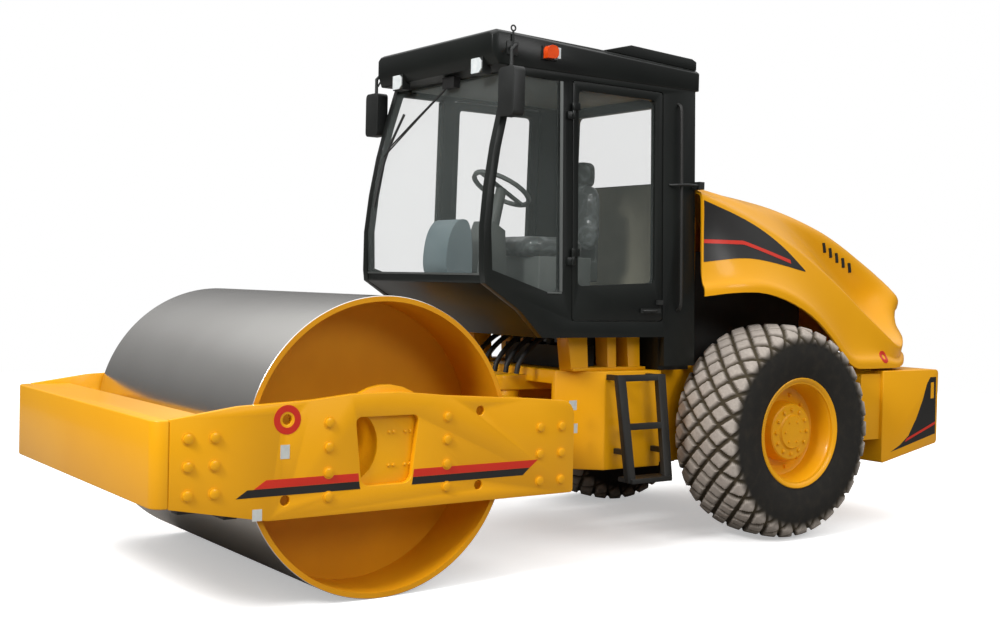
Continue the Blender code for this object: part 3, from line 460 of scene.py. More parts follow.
sidePlate = {
    "boltRadius": 0.026, "boltHeight": 0.0135,
    "bolts": [(y, z) for y in (-1.109, -0.972) for z in (0.905, 0.770, 0.632)]
    + [(y, z) for y in (-0.353, 0.367) for z in (0.950, 0.825, 0.695, 0.570)]
    + [(y, z) for y in (1.000, 1.155) for z in (0.863, 0.710, 0.555)],
    "ring": (-0.590, 0.975, 0.040, 0.074),
    "film": 0.0012,
    "red": [[(-0.765, 0.638), (-0.175, 0.638), (-0.180, 0.680), (-0.700, 0.680)],
            [(0.152, 0.638), (0.930, 0.638), (0.985, 0.680), (0.157, 0.680)]],
    "black": [[(-0.860, 0.598), (-0.168, 0.598), (-0.175, 0.637), (-0.800, 0.637)],
              [(0.146, 0.598), (0.880, 0.598), (0.928, 0.637), (0.152, 0.637)]],
    "labels": [(-0.600, 0.815, 0.050, 0.070), (-0.745, 0.510, 0.052, 0.058)],
}


def domedBolt(radius, height, sides=14):
    # bolt head on its washer: a low drum under a rounded cap, standing on the YZ plane along +X
    profile = [(-0.002, radius * 1.25), (height * 0.22, radius * 1.25), (height * 0.24, radius * 0.98),
               (height * 0.75, radius * 0.92), (height * 0.95, radius * 0.62), (height, radius * 0.2)]
    return gridShape(latheShape(profile, (0, 0, 0), sides), wrapCols=True, caps=True)


def ringShape(centre, inner, outer, depth):
    # a flat washer round the X axis, from the inner to the outer radius
    rings = latheShape([(0, inner), (0, outer), (depth, outer), (depth, inner)], centre, 48)
    return gridShape(rings, wrapRows=True, wrapCols=True)


def onPlate(outline):
    # film cut to an outline of (distance behind the axle, z) and laid on the side plate
    return plateShape(outline, at(plateFace, 0, 0), (0, 1, 0), (0, 0, 1), (sidePlate["film"], 0, 0))


def dressSidePlates():
    # bolts at their places, and films: the stripes, the ring, and blank labels as wide and high as given
    p = sidePlate
    bolts = copiesAt(domedBolt(p["boltRadius"], p["boltHeight"]), [at(plateFace, y, z) for y, z in p["bolts"]])
    y, z, inner, outer = p["ring"]
    ring = ringShape(at(plateFace, y, z), inner, outer, p["film"])
    corners = np.array([(-0.5, -0.5), (0.5, -0.5), (0.5, 0.5), (-0.5, 0.5)])
    labels = [onPlate(corners * (wide, high) + (y, z)) for y, z, wide, high in p["labels"]]
    for name, shape, material in (("bolts", bolts, yellowEnamel),
                                  ("red_film", together(*map(onPlate, p["red"]), ring), redFilm),
                                  ("black_film", together(*map(onPlate, p["black"])), blackFilm),
                                  ("labels", together(*labels), greyFilm)):
        bothSides("plate_" + name, shape, material, "front_frame")


dressSidePlates()

drive = {"bolts": [(y, z) for y in (0.02, 0.05, 0.12, 0.15) for z in (0.705, 0.88)]}


def dressDrive():
    # small bolts of the drive plate, seen through the side plate's window
    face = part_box("drum_carrier_left")[1].x
    bolts = copiesAt(domedBolt(0.009, 0.008, 8), [at(face, y, z) for y, z in drive["bolts"]])
    bothSides("drive_bolts", bolts, yellowEnamel, "front_frame")


dressDrive()


underCab = {
    "block": [(-0.30, 1.78, 1.134), (0.32, 2.06, 1.275)],
    "ports": (-0.24, -0.12, 0.02, 0.14, 0.26), "port": [(0, 1.83, 1.272), (0, 1.83, 1.315)], "portRadius": 0.028,
    "hose": [(0, 1.83, 1.30), (0, 1.80, 1.36), (0.02, 1.66, 1.34), (0.04, 1.52, 1.25), (0.05, 1.44, 1.16),
             (0.05, 1.43, 1.10)],
    "hoseRadius": 0.017,
    "stickers": [(1.600, 0.925), (1.610, 0.780)], "stickerHalf": 0.030, "stickerX": (0.679, 0.682),
    "foot": [(-0.05, -1.20, 0.545), (0.05, -1.12, 0.578)], "feet": (-0.90, -0.55, -0.20),
}


def dressUnderCab():
    # valve block bolted on the rear frame, with hoses that arch over to the frame's front edge
    u = underCab
    block = blockShape(*[at(*corner) for corner in u["block"]])
    ports = copiesAt(tubeShape([at(*end) for end in u["port"]], u["portRadius"], 16),
                     [(x, 0, 0) for x in u["ports"]])
    addPiece("valve_block", together(block, ports), castIron, "rear_frame")
    for number, x in enumerate(u["ports"]):
        path = smoothPath([at(x + side, behind, z) for side, behind, z in u["hose"]], 3)
        addPiece("frame_hose_" + str(number), tubeShape(path, u["hoseRadius"]), rubberHose, "rear_frame")
    half, (inner, outer) = u["stickerHalf"], u["stickerX"]
    for number, (behind, z) in enumerate(u["stickers"]):
        sticker = blockShape(at(inner, behind - half, z - half), at(outer, behind + half, z + half))
        addPiece("frame_sticker_" + str(number), sticker, greyFilm, "rear_frame")
    feet = copiesAt(blockShape(*[at(*corner) for corner in u["foot"]]), [(x, 0, 0) for x in u["feet"]])
    addPiece("beam_feet", feet, blackEnamel, "front_frame")


dressUnderCab()
print("front frame dressed")


tyreLow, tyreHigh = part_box("tyre_left")
wheel = {
    "middle": (tyreLow.x + tyreHigh.x) / 2, "axleY": (tyreLow.y + tyreHigh.y) / 2,
    "radius": (tyreHigh.z - tyreLow.z) / 2, "half": (tyreHigh.x - tyreLow.x) / 2,
    "aroundBlocks": 29, "acrossPitch": 0.168, "groove": 0.100, "tread": 0.022, "bandHalf": 0.315,
    "boltCircle": 0.148, "bolts": 12,
}


def tyre(side, sign):
    # round carcass section turned about the axle, raised where a lattice of crossed grooves leaves diamond blocks
    w = wheel
    h, r, t = w["half"], w["radius"], w["tread"]
    section = np.array([(0.236, 0.345), (0.250, 0.385), (h - 0.012, 0.430), (h - 0.001, 0.500),
                        (h - 0.002, 0.560),
                        (h - 0.014, 0.622), (h - 0.045, 0.664), (h - 0.105, 0.690), (0.080, r - t), (0.0, r - t)])
    section = smoothPath(np.concatenate([section, (section * (-1, 1))[::-1][1:]]), 3)
    run = np.concatenate([[0], np.cumsum(np.linalg.norm(np.diff(section, axis=0), axis=1))])
    even = np.linspace(0, run[-1], 116)
    section = np.stack([np.interp(even, run, section[:, 0]), np.interp(even, run, section[:, 1])], 1)
    across = even - even[-1] / 2
    tangent = np.gradient(section, axis=0)
    normal = np.stack([-tangent[:, 1], tangent[:, 0]], 1)
    normal /= np.linalg.norm(normal, axis=1)[:, None]
    normal *= np.sign(normal[len(normal) // 2, 1])
    steps = w["aroundBlocks"] * 22
    angle = np.linspace(0, 2 * np.pi, steps, endpoint=False)
    p = angle[None, :] * w["aroundBlocks"] / (2 * np.pi)
    q = across[:, None] / w["acrossPitch"]
    lineA, lineB = np.abs((p + q) - np.round(p + q)), np.abs((p - q) - np.round(p - q))
    block = np.clip((np.minimum(lineA, lineB) - w["groove"]) / 0.055, 0, 1)
    block = block * block * (3 - 2 * block)
    band = np.clip((w["bandHalf"] - np.abs(across)) / 0.05, 0, 1)[:, None] + 0 * p
    lift = t * block * band
    x = section[:, 0, None] + normal[:, 0, None] * lift
    x = np.clip(x, -h, h)
    radius = np.minimum(section[:, 1, None] + normal[:, 1, None] * lift, r)
    points = np.stack([sign * (w["middle"] + x), w["axleY"] + radius * np.cos(angle), r + radius * np.sin(angle)],
                      -1)
    piece = newPiece("tyre_" + side + "_tread", gridShape(points, wrapRows=True, wrapCols=True), tyreRubber)
    # blockTop is the mask that paints the block tops pale (painted highlight) and the grooves dark (painted
    # shade)
    for name, values in (("blockTop", block * band), ("treadBand", band)):
        layer = piece.data.attributes.new(name, "FLOAT", "POINT")
        layer.data.foreach_set("value", values.ravel().astype(np.float32))
    settled(piece, "wheel_" + side, ("tyre_" + side,), 60)


def rim(side, sign):
    # deep dish: rolled lip, sloping barrel, disc and stepped hub, then its studs and cap screws
    w = wheel
    dishProfile = [(0.045, 0.02), (0.045, 0.300), (-0.222, 0.310), (-0.250, 0.350), (-0.252, 0.370),
                   (-0.242, 0.370),
                   (-0.236, 0.331), (0.236, 0.331), (0.242, 0.368), (0.247, 0.371), (0.252, 0.366),
                   (0.248, 0.352),
                   (0.236, 0.338), (0.205, 0.322), (0.110, 0.308), (0.082, 0.298), (0.072, 0.280), (0.070, 0.232),
                   (0.074, 0.206), (0.160, 0.190), (0.168, 0.182), (0.170, 0.120), (0.176, 0.112), (0.184, 0.108),
                   (0.186, 0.02)]
    rings = latheShape(dishProfile, (w["middle"], w["axleY"], w["radius"]), 128)
    dish = gridShape(rings, wrapCols=True, caps=True)
    angle = np.linspace(0, 2 * np.pi, w["bolts"], endpoint=False)

    def circled(out, radius, turns):
        # places round the axle at a radius, so far out from the rim's middle
        return [(w["middle"] + out, w["axleY"] + radius * math.cos(a),
                 w["radius"] + radius * math.sin(a)) for a in turns]

    shape = together(dish, copiesAt(domedBolt(0.013, 0.012, 8), circled(0.169, w["boltCircle"], angle)),
                     copiesAt(domedBolt(0.008, 0.006, 6), circled(0.186, 0.075, angle[::2])),
                     copiesAt(domedBolt(0.013, 0.016, 6), circled(0.071, 0.252, angle + 0.2)))
    addPiece("rim_" + side + "_dish", shape if sign > 0 else mirroredShape(shape), yellowEnamel, "wheel_" + side,
             ("rim_" + side,), 32)


for side, sign in (("left", 1), ("right", -1)):
    tyre(side, sign)
    rim(side, sign)
print("wheels made")


hood = {
    # behind the drum's axle, top z, ridge x, ridge z, side x, lower z
    "sections": [(2.600, 2.372, 0.745, 2.310, 0.800, 1.620), (2.800, 2.356, 0.765, 2.245, 0.920, 1.655),
                 (3.050, 2.331, 0.790, 2.150, 0.980, 1.652), (3.400, 2.288, 0.840, 1.985, 1.000, 1.530),
                 (3.660, 2.234, 0.875, 1.825, 1.000, 1.341), (3.860, 2.180, 0.900, 1.690, 1.000, 1.130),
                 (4.050, 2.120, 0.918, 1.545, 1.000, 1.125), (4.250, 2.035, 0.937, 1.405, 0.990, 1.125),
                 (4.460, 1.930, 0.945, 1.260, 0.970, 1.125), (4.680, 1.818, 0.800, 1.330, 0.820, 1.190),
                 (4.800, 1.735, 0.660, 1.400, 0.670, 1.190), (4.847, 1.640, 0.550, 1.400, 0.560, 1.190)],
    "topHalf": 0.50, "flare": 0.100, "skin": 0.02,
    "sail": {"front": (2.612, 1.848, 2.258), "upper": [(3.005, 2.137), (3.262, 1.996)],
             "lower": [(2.887, 1.889), (3.136, 1.863)], "tip": (3.476, 1.803)},
    "ventStart": (4.024, 1.990), "ventEnd": (4.324, 1.850), "vents": 5,
}


def hoodRings():
    # half sections from the lip up over flare, waist, ridge and shoulder to the middle; corners cut round
    # both ways
    s = np.array(hood["sections"])
    y, top, ridgeX, ridgeZ, sideX, low = s.T
    rise = ridgeZ - low
    flare = np.minimum(hood["flare"], rise * 0.35)
    half = hood["topHalf"] * np.minimum(1, ridgeX / 0.6)
    waist = np.clip((y - 3.3) / 0.9, 0, 1) * np.clip((4.72 - y) / 0.2, 0, 1)
    crown = top - ridgeZ
    columns = [(sideX, low), (sideX, low + flare * 0.55), (sideX - 0.035, low + flare),
               (sideX * 0.6 + ridgeX * 0.4 - 0.02, low + rise * 0.45), (ridgeX + 0.012, ridgeZ - rise * 0.08),
               (ridgeX, ridgeZ), (ridgeX - 0.05 - 0.10 * waist, ridgeZ + crown * (0.22 - 0.16 * waist)),
               (half + 0.18 - 0.16 * waist, ridgeZ + crown * (0.70 - 0.30 * waist)), (half + 0.09, top - 0.040),
               (half - 0.02, top), (half * 0.5, top + 0.010), (0 * half, top + 0.012)]
    ring = np.stack([np.stack([x, y + drumY, z], -1) for x, z in columns], 1)
    mirrored = ring[:, ::-1][:, 1:] * (-1, 1, 1)
    ring = np.concatenate([ring, mirrored], 1)
    ring = smoothPath(ring, 2)
    ring = smoothPath(ring.transpose(1, 0, 2), 2).transpose(1, 0, 2)
    return ring


def onHood(rings, y, z, side):
    # x of the hood's flank at each (y, z): along every section, then between the two nearest sections
    half = rings[:, :rings.shape[1] // 2 + 1]
    sectionY = half[:, 0, 1]
    flank = np.stack([np.interp(z, section[:, 2], section[:, 0]) for section in half])
    before = np.clip(np.searchsorted(sectionY, y + drumY) - 1, 0, len(sectionY) - 2)
    share = np.clip((y + drumY - sectionY[before]) / (sectionY[before + 1] - sectionY[before]), 0, 1)
    column = np.arange(len(y))
    found = flank[before, column] * (1 - share) + flank[before + 1, column] * share
    return np.stack([side * (found + 0.002), y + drumY, z], -1)


def hoodPatch(rings, name, columns, lower, upper, material, side):
    # film laid on the flank between a lower and an upper curve
    t = np.linspace(0, 1, 12)[:, None]
    y = np.repeat(columns[None], len(t), 0)
    z = lower[None] * (1 - t) + upper[None] * t
    points = onHood(rings, y.ravel(), z.ravel(), side).reshape(*y.shape, 3)
    inner = points - (side * 0.004, 0, 0)
    edge = np.concatenate([points, inner[::-1]])
    addPiece(name, gridShape(edge, wrapRows=True), material, "hood")


def makeHood():
    # the pressed shell with its skin turned inwards, then the black sail and the red line on each flank
    rings = hoodRings()
    count = rings.shape[0] * rings.shape[1]
    points, faces = gridShape(rings)
    faces.append((count - rings.shape[1] + np.arange(rings.shape[1]))[None])
    shell = newPiece("hood_shell", (points, faces), yellowEnamel)
    if sum(face.normal.z * face.area for face in shell.data.polygons) < 0:
        shell.data.flip_normals()
    solid = shell.modifiers.new("skin", "SOLIDIFY")
    solid.thickness = hood["skin"]
    solid.offset = -1
    applied(shell)
    settled(shell, "hood", ("hood",), 38)
    sail = hood["sail"]
    frontY, frontLow, frontHigh = sail["front"]
    tipY, tipZ = sail["tip"]
    columns = np.linspace(frontY, tipY - 0.004, 40)
    upperPoints = smoothPath([(frontY, frontHigh), *sail["upper"], (tipY, tipZ + 0.006)], 3)
    lowerPoints = smoothPath([(frontY, frontLow), *sail["lower"], (tipY, tipZ)], 3)
    upper = np.interp(columns, upperPoints[:, 0], upperPoints[:, 1])
    lower = np.interp(columns, lowerPoints[:, 0], lowerPoints[:, 1])
    lineColumns = np.linspace(frontY, frontY + 0.72, 30)
    lineZ = np.interp(lineColumns, [frontY, frontY + 0.3, frontY + 0.72], [1.985, 1.985, 1.868])
    line = smoothPath(np.stack([lineColumns, lineZ], 1), 1)
    for side, sign in (("left", 1), ("right", -1)):
        hoodPatch(rings, "hood_sail_" + side, columns, lower, upper, blackFilm, sign)
        lifted = rings.copy()
        lifted[:, :lifted.shape[1] // 2 + 1, 0] += 0.0015
        hoodPatch(lifted, "hood_line_" + side, line[:, 0], line[:, 1] - 0.012, line[:, 1] + 0.014, redFilm, sign)
    return rings


rings = makeHood()


def hoodVents(rings):
    # five short slots down the shoulder, made as black pieces of painted shade where the openings lie: the middle
    # of each steps evenly between two points, and each leans forward
    drop = np.linspace(0.034, -0.034, 5)
    slots = []
    for behind, height in np.linspace(hood["ventStart"], hood["ventEnd"], hood["vents"]):
        edges = [onHood(rings, behind - 0.3 * drop + side * 0.013, height + drop, 1) for side in (-1, 1)]
        loop = np.concatenate([edges[0], edges[1][::-1]])
        slots.append(gridShape(np.stack([loop + (0.004, 0, 0.003), loop - (0.006, 0, 0.006)]), wrapCols=True,
                               caps=True))
    # the black ABS here is painted shade standing for the dark inside of each vent opening
    bothSides("hood_vent_shade", together(*slots), blackAbs, "hood")


hoodVents(rings)


def flankRing(rings, behind, z, inner, outer):
    # ring of film that follows the flank, radius by radius round its middle
    around = np.linspace(0, 2 * np.pi, 40, endpoint=False)[None, :]
    radius = np.array([inner, (inner + outer) / 2, outer])[:, None]
    y, height = behind + radius * np.cos(around), z + radius * np.sin(around)
    face = onHood(rings, y.ravel(), height.ravel(), 1).reshape(*y.shape, 3)
    return gridShape(np.concatenate([face, face[::-1] - (0.004, 0, 0)]), wrapRows=True, wrapCols=True)


bothSides("lift_ring", flankRing(rings, 4.245, 1.205, 0.018, 0.044), redFilm, "hood")
print("hood made")


weight = {"face": 1.0, "front": 4.21, "length": 0.64, "top": 1.105, "lowFront": 0.442, "lowRear": 0.552,
          "film": 0.0012,
          "sail": [(0.955, 0.10), (0.965, 0.86), (0.16, 0.915), (0.32, 0.87), (0.47, 0.79), (0.61, 0.60),
                   (0.72, 0.38),
                   (0.79, 0.18), (0.85, 0.10)],
          "line": [(0.44, 0.815), (0.96, 0.70), (0.96, 0.735), (0.41, 0.85)],
          "reflector": [(0.862, 0.17), (0.915, 0.17), (0.920, 0.38), (0.862, 0.38)]}


def dressWeight():
    # shares of the cheek's length and height turned into places on it
    w = weight

    def spot(u, v):
        # along by u of the length, and down by v of the cheek's height there, as its lower edge slopes
        low = w["lowFront"] + (w["lowRear"] - w["lowFront"]) * u
        return w["front"] + w["length"] * u, w["top"] - v * (w["top"] - low)

    for part, material, lift in (("sail", blackFilm, 0), ("line", redFilm, 0.0008),
                                 ("reflector", yellowEnamel, 0.0008)):
        outline = [spot(u, v) for u, v in w[part]]
        shape = plateShape(outline, at(w["face"], 0, 0), (0, 1, 0), (0, 0, 1), (w["film"] + lift, 0, 0))
        bothSides("weight_" + part, shape, material, "rear_frame")


dressWeight()


cab = {"lean": 0.042, "sill": 1.35, "half": 0.73,
       "screen": [(0.875, 1.745), (0.872, 2.00), (0.900, 2.25), (0.945, 2.50), (1.000, 2.72), (1.075, 2.98)]}


def wallX(z):
    # the cab's half width, less by the lean for each metre above the sill
    return cab["half"] * (1 - cab["lean"] * (z - cab["sill"]))


def screenY(z):
    # distance of the screen behind the drum's axle, read between the points of its side line
    line = np.array(cab["screen"])
    return np.interp(z, line[:, 1], line[:, 0])


def onWall(behind, z, out=0.0):
    # a place on the cab's leaning left wall, and so far out from it
    return at(wallX(z) + out, behind, z)


def wallStrip(behindLow, behindHigh, zLow, zHigh, out):
    # flat strip that leans with the cab's wall
    corners = np.array([onWall(behindLow, zLow), onWall(behindHigh, zLow), onWall(behindHigh, zHigh),
                        onWall(behindLow, zHigh)])
    return gridShape(np.stack([corners, corners + (out, 0, 0)]), wrapCols=True, caps=True)


trimShape = together(wallStrip(1.436, 1.458, 1.634, 2.925, 0.005), wallStrip(1.345, 1.455, 1.622, 1.631, 0.003))
bothSides("quarter_trim", trimShape, trimAluminium)
sillShape = blockShape(at(-0.66, 0.8795, 1.722), at(0.66, 0.8845, 1.734))
addPiece("screen_sill_trim", sillShape, trimAluminium, "rear_frame")

railPath = [onWall(2.425, 1.52, -0.002), onWall(2.425, 1.54, 0.030), onWall(2.425, 1.60, 0.036),
            onWall(2.425, 2.80, 0.036), onWall(2.425, 2.86, 0.030), onWall(2.425, 2.88, -0.002)]
bothSides("grab_rail", tubeShape(smoothPath(railPath, 2), 0.011, 14), blackEnamel)
catchShape = together(tubeShape([onWall(2.35, 2.345, 0.0), onWall(2.38, 2.345, 0.045), onWall(2.46, 2.35, 0.060),
                                 onWall(2.57, 2.35, 0.055)], 0.008, 10),
                      blockShape(onWall(2.555, 2.325, 0.0), onWall(2.600, 2.375, 0.070)))
bothSides("door_catch", catchShape, blackAbs)
doorHandle = together(blockShape(onWall(2.10, 1.505, 0.001), onWall(2.27, 1.535, 0.012)),
                      tubeShape(smoothPath([onWall(2.12, 1.520, 0.0), onWall(2.13, 1.520, 0.035),
                                            onWall(2.22, 1.520, 0.035),
                                            onWall(2.23, 1.520, 0.0)], 2), 0.008, 10),
                      blockShape(onWall(2.235, 1.560, 0.0), onWall(2.285, 1.590, 0.018)))
addPiece("door_handle_left", doorHandle, blackAbs, "door_left")
addPiece("door_handle_right", mirroredShape(doorHandle), blackAbs, "door_right")

workLight = {"places": [(0.500, 2.985), (-0.420, 2.985)], "half": (0.060, 0.050), "depth": 0.060}


def workLights():
    # square black housing tipped down a little, with a pale lens in a raised frame
    for index, (x, z) in enumerate(workLight["places"]):
        halfX, halfZ = workLight["half"]
        back = screenY(2.98) - 0.075
        frameShape = together(
            blockShape(at(x - halfX, back - workLight["depth"], z - halfZ), at(x + halfX, back, z + halfZ)),
            blockShape(at(x - 0.012, back - 0.02, z + halfZ - 0.005),
                       at(x + 0.012, back + 0.12, z + halfZ + 0.022)))
        lens = smoothPath([(-0.9, -0.9), (0.9, -0.9), (0.9, 0.9), (-0.9, 0.9)], 1) * (halfX, halfZ)
        lensShape = plateShape(lens, at(x, back - workLight["depth"] + 0.001, z), (1, 0, 0), (0, 0, 1),
                               (0, -0.008, 0))
        addPiece("work_light_" + "ab"[index], frameShape, blackAbs, "rear_frame")
        addPiece("work_lens_" + "ab"[index], lensShape, clearLens, "rear_frame")


workLights()
lampBase = blockShape(at(0.680, 1.285, 3.040), at(0.700, 1.400, 3.125))
lampLens = plateShape(smoothPath([(0, 0), (0.085, 0), (0.085, 0.080), (0, 0.080), (0, 0.001)], 2),
                      at(0.699, 1.290, 3.045), (0, 1, 0), (0, 0, 1), (0.045, 0, 0))
lampClear = blockShape(at(0.699, 1.372, 3.050), at(0.735, 1.396, 3.115))
bothSides("turn_lamp_base", lampBase, blackAbs)
bothSides("turn_lamp", lampLens, orangeLens)
bothSides("turn_lamp_clear", lampClear, clearLens)

angle = np.linspace(0, 2 * np.pi, 25)[:-1]
eyeRing = np.stack([0.700 + 0 * angle, 1.060 + drumY + 0.016 * np.cos(angle), 3.198 + 0.016 * np.sin(angle)], -1)
eyeTube = tubeShape(np.concatenate([eyeRing, eyeRing[:1]]), 0.005, 8)
eyeStem = tubeShape([at(0.700, 1.060, 3.06), at(0.700, 1.060, 3.12), at(0.700, 1.060, 3.184)], 0.007, 8)
stay = tubeShape([at(0.700, 1.060, 3.10), at(0.740, 1.02, 3.07), at(0.778, 0.995, 3.00)], 0.006, 8)
bothSides("mirror_stay", together(eyeTube, eyeStem, stay), blackAbs)
glassFace = smoothPath([(0.715, 2.675), (0.855, 2.675), (0.855, 2.935), (0.715, 2.935), (0.715, 2.68)], 2)
bothSides("mirror_face", plateShape(glassFace, at(0, 1.0355, 0), (1, 0, 0), (0, 0, 1), (0, 0.0015, 0)),
          mirrorGlass)

wiper = {"arms": [[(0.10, 2.93), (-0.52, 2.50)], [(0.05, 2.90), (-0.47, 2.56)]],
         "blade": [(-0.575, 2.16), (-0.545, 2.50), (-0.42, 2.78)]}


def wipers():
    # parallel arms from the roof's edge to a long blade on the glass
    def onScreen(x, z, out):
        # a place so far in front of the screen
        return at(x, screenY(z) - out, z)
    arms = [tubeShape([onScreen(x, z, 0.040) for x, z in np.linspace(a, b, 8)], 0.005, 8) for a,
            b in wiper["arms"]]
    bladePath = smoothPath([onScreen(x, z, 0.022) for x, z in wiper["blade"]], 3)
    blade = tubeShape(bladePath, 0.009, 6)
    motor = blockShape(at(0.02, screenY(2.93) - 0.055, 2.90), at(0.15, screenY(2.93) - 0.010, 2.97))
    addPiece("wiper", together(*arms, blade, motor), rubberHose, "rear_frame")


wipers()

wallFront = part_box("cab_rear_wall")[0].y - drumY
trimPanel = blockShape(at(-0.585, wallFront - 0.016, 1.46), at(0.585, wallFront - 0.002, 2.372))
addPiece("rear_trim_panel", trimPanel, trimBoard, "rear_frame")
headliner = blockShape(at(-0.60, 1.16, 2.962), at(0.60, wallFront - 0.01, 2.976))
addPiece("headliner", headliner, greyAbs, "rear_frame")
floorMat = blockShape(at(-0.60, 1.36, 1.4215), at(0.60, wallFront - 0.02, 1.432))
addPiece("floor_mat", floorMat, rubberHose, "rear_frame")

# instrument console on the sloping toe board, ahead of the steering column
consoleOutline = smoothPath([(1.190, 1.565), (1.190, 2.060), (1.080, 2.090), (1.000, 1.960), (0.985, 1.700),
                             (1.180, 1.572)], 3)
console = plateShape(consoleOutline, at(-0.145, 0, 0), (0, 1, 0), (0, 0, 1), (0.275, 0, 0))
addPiece("front_console", console, blueGreyAbs, "rear_frame")
print("cab dressed")


pads = {
    "seat_cushion": {"shrink": 0.012, "corner": 0.42, "fill": 0.7, "voxel": 0.010, "cap": 0.018},
    "seat_back": {"shrink": 0.012, "corner": 0.5, "fill": 0.65, "voxel": 0.010, "cap": 0.020},
}


def padShape(low, high, corner):
    # superellipsoid: signed powers of the sines and cosines of two angles give a box with crowned faces
    centre, half = (low + high) / 2, (high - low) / 2
    up = np.linspace(-np.pi / 2, np.pi / 2, 40)[1:-1, None]
    around = np.linspace(0, 2 * np.pi, 72, endpoint=False)[None, :]
    power = lambda value: np.sign(value) * np.abs(value) ** corner
    unit = np.stack([power(np.cos(up)) * power(np.cos(around)), power(np.cos(up)) * power(np.sin(around)),
                     power(np.sin(up)) + 0 * around], -1)
    return centre + half * unit


def swell(piece, pad):
    # remeshed, blown up as cloth under pressure with gravity off, each point held to a short way from its start
    remesh = piece.modifiers.new("remesh", "REMESH")
    remesh.mode = "VOXEL"
    remesh.voxel_size = pad["voxel"]
    applied(piece)
    before = pointsOf(piece)
    cloth = piece.modifiers.new("cloth", "CLOTH")
    cloth.settings.use_pressure = True
    cloth.settings.uniform_pressure_force = 4.0
    cloth.settings.effector_weights.gravity = 0.0
    scene = bpy.context.scene
    for step in range(1, 21):
        scene.frame_set(step)
    applied(piece)
    after = pointsOf(piece)
    move = after - before
    length = np.linalg.norm(move, axis=1)[:, None]
    after = before + move * np.minimum(1, pad["cap"] / np.maximum(length, 1e-9))
    piece.data.vertices.foreach_set("co", after.astype(np.float32).ravel())
    scene.frame_set(1)


def makePad(name, lows, highs):
    # one closed pad for each pair of corners, swollen and kept inside the CAD's box
    pad = pads[name]
    shapes = [gridShape(padShape(low + pad["shrink"], high - pad["shrink"], pad["corner"]), wrapCols=True,
                        caps=True)
              for low, high in zip(lows, highs)]
    piece = newPiece(name + "_pad", together(*shapes))
    swell(piece, pad)
    low, high = np.min(lows, 0), np.max(highs, 0)
    piece.data.vertices.foreach_set("co", np.clip(pointsOf(piece), low, high).astype(np.float32).ravel())
    piece.data.materials.clear()
    piece.data.materials.append(seatCloth)
    settled(piece, "rear_frame", (name,), 70)


cushionLow, cushionHigh = (np.array(corner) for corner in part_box("seat_cushion"))
makePad("seat_cushion", [cushionLow], [cushionHigh])
backLow, backHigh = (np.array(corner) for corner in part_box("seat_back"))
split = backHigh[2] - 0.20
mainHigh = np.array([backHigh[0], backHigh[1] - 0.03, split + 0.03])
headLow = np.array([-0.13, backHigh[1] - 0.135, split])
headHigh = np.array([0.13, backHigh[1], backHigh[2]])
makePad("seat_back", [backLow, headLow], [mainHigh, headHigh])
print("seat padded")


# sky: (height of the direction, brightness); floor: radius, brightness of the glow that the lens sees
studioFloor = {"radius": 15, "sides": 64, "glow": 0.42}
studioSky = {"levels": ((0.0, 0.05), (0.35, 0.22), (0.65, 0.90), (1.0, 1.10)), "strength": 1.45}


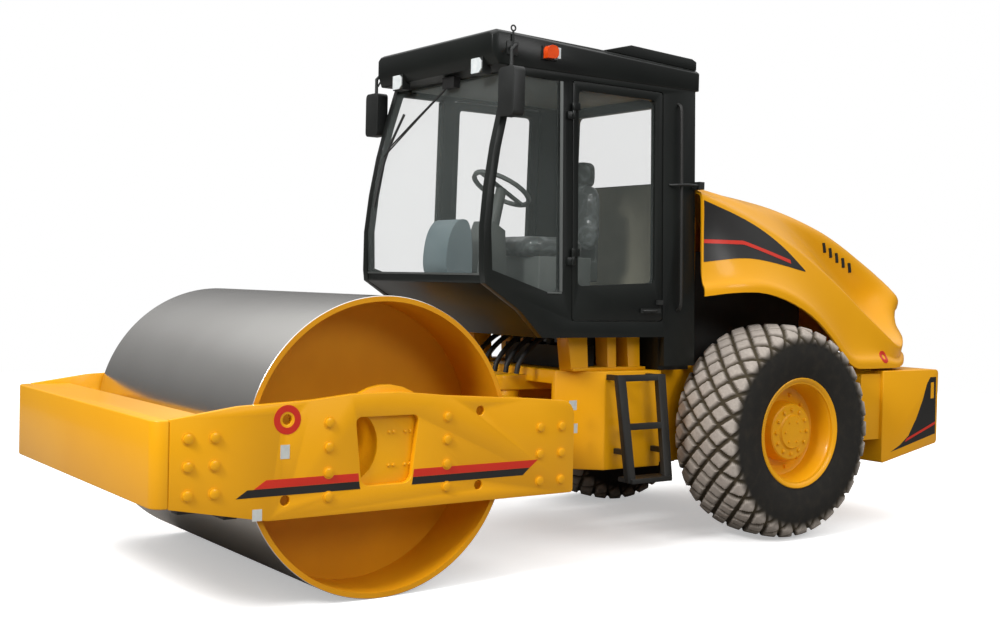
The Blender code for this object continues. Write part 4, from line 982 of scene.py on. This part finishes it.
def studio():
    # white round floor: the lens sees it nearly full white, while what it throws back on the machine is greyer
    floorMaterial, tree, shader, coords = newMaterial("paleFloor", {"Roughness": 0.9, "Specular IOR Level": 0.1})
    seen = tree.nodes.new("ShaderNodeLightPath").outputs["Is Camera Ray"]
    tone = addNode(tree, "ShaderNodeMix", {"data_type": "RGBA", 6: srgb("#8F8D8A"), 7: srgb("#F8F8F8")},
                   {0: seen})
    glow = addNode(tree, "ShaderNodeMath", {"operation": "MULTIPLY", 1: studioFloor["glow"]}, {0: seen})
    tree.links.new(tone.outputs[2], shader.inputs["Base Color"])
    tree.links.new(glow.outputs[0], shader.inputs["Emission Strength"])
    turns = np.linspace(0, 2 * np.pi, studioFloor["sides"], endpoint=False)
    edge = studioFloor["radius"] * np.stack([np.cos(turns), np.sin(turns), 0 * turns], axis=1)
    newPiece("studio_floor", (edge, [np.arange(studioFloor["sides"])[None]]), floorMaterial)
    world = bpy.data.worlds.new("studio")
    world.use_nodes = True
    # soft sky: dim at the horizon, brighter overhead, and plain white where the camera looks past the machine
    tree = world.node_tree
    height = addNode(tree, "ShaderNodeSeparateXYZ", {},
                     {0: tree.nodes.new("ShaderNodeTexCoord").outputs["Generated"]})
    ramp = addNode(tree, "ShaderNodeValToRGB", {}, {0: height.outputs["Z"]})
    ramp.color_ramp.elements.remove(ramp.color_ramp.elements[1])
    for place, level in studioSky["levels"]:
        stop = ramp.color_ramp.elements.new(place) if place > 0 else ramp.color_ramp.elements[0]
        stop.color = (level, level, level, 1.0)
    sky = tree.nodes["Background"]
    sky.inputs["Strength"].default_value = studioSky["strength"]
    tree.links.new(ramp.outputs["Color"], sky.inputs["Color"])
    plain = addNode(tree, "ShaderNodeBackground", {"Color": (1.0, 1.0, 1.0, 1.0), "Strength": 1.0})
    choose = addNode(tree, "ShaderNodeMixShader", {}, {
        0: tree.nodes.new("ShaderNodeLightPath").outputs["Is Camera Ray"], 1: sky.outputs[0],
        2: plain.outputs[0]})
    tree.links.new(choose.outputs[0], tree.nodes["World Output"].inputs["Surface"])
    bpy.context.scene.world = world


def softbox(name, place, target, size, watts):
    # a round lamp at a place, turned so that its face looks at the target
    lamp = bpy.data.lights.new(name, "AREA")
    lamp.shape = "DISK"
    lamp.size = size
    lamp.energy = watts
    holder = bpy.data.objects.new(name, lamp)
    holder.location = place
    holder.rotation_euler = (Vector(target) - Vector(place)).to_track_quat("-Z", "Y").to_euler()
    bpy.context.collection.objects.link(holder)


view = {"place": (7.012, -5.300, 1.689), "azimuth": 54.369, "down": 1.263, "roll": 1.324, "lens": 46.93}


def placeCamera():
    # ahead from azimuth and dip, right level with the ground, up square to both, then both rolled about ahead
    turn, dip, roll = (math.radians(view[key]) for key in ("azimuth", "down", "roll"))
    ahead = Vector((-math.sin(turn) * math.cos(dip), math.cos(turn) * math.cos(dip), -math.sin(dip)))
    right = Vector((math.cos(turn), math.sin(turn), 0))
    up = right.cross(ahead)
    rightRolled = math.cos(roll) * right + math.sin(roll) * up
    upRolled = -math.sin(roll) * right + math.cos(roll) * up
    camera = bpy.data.objects.new("camera", bpy.data.cameras.new("camera"))
    camera.data.lens = view["lens"]
    camera.data.sensor_width = 36
    turned = Matrix((rightRolled, upRolled, -ahead)).transposed().to_4x4()
    camera.matrix_world = Matrix.Translation(view["place"]) @ turned
    bpy.context.collection.objects.link(camera)
    bpy.context.scene.camera = camera


studio()
softbox("key", (3.0, -10.0, 8.0), (0, -0.5, 1.0), 3.0, 900)
softbox("side", (11.0, 1.0, 6.0), (0, 0.5, 1.2), 4.0, 260)
placeCamera()
bpy.context.scene.view_settings.view_transform = "Standard"  # keeps the enamel's full yellow
print("studio ready")
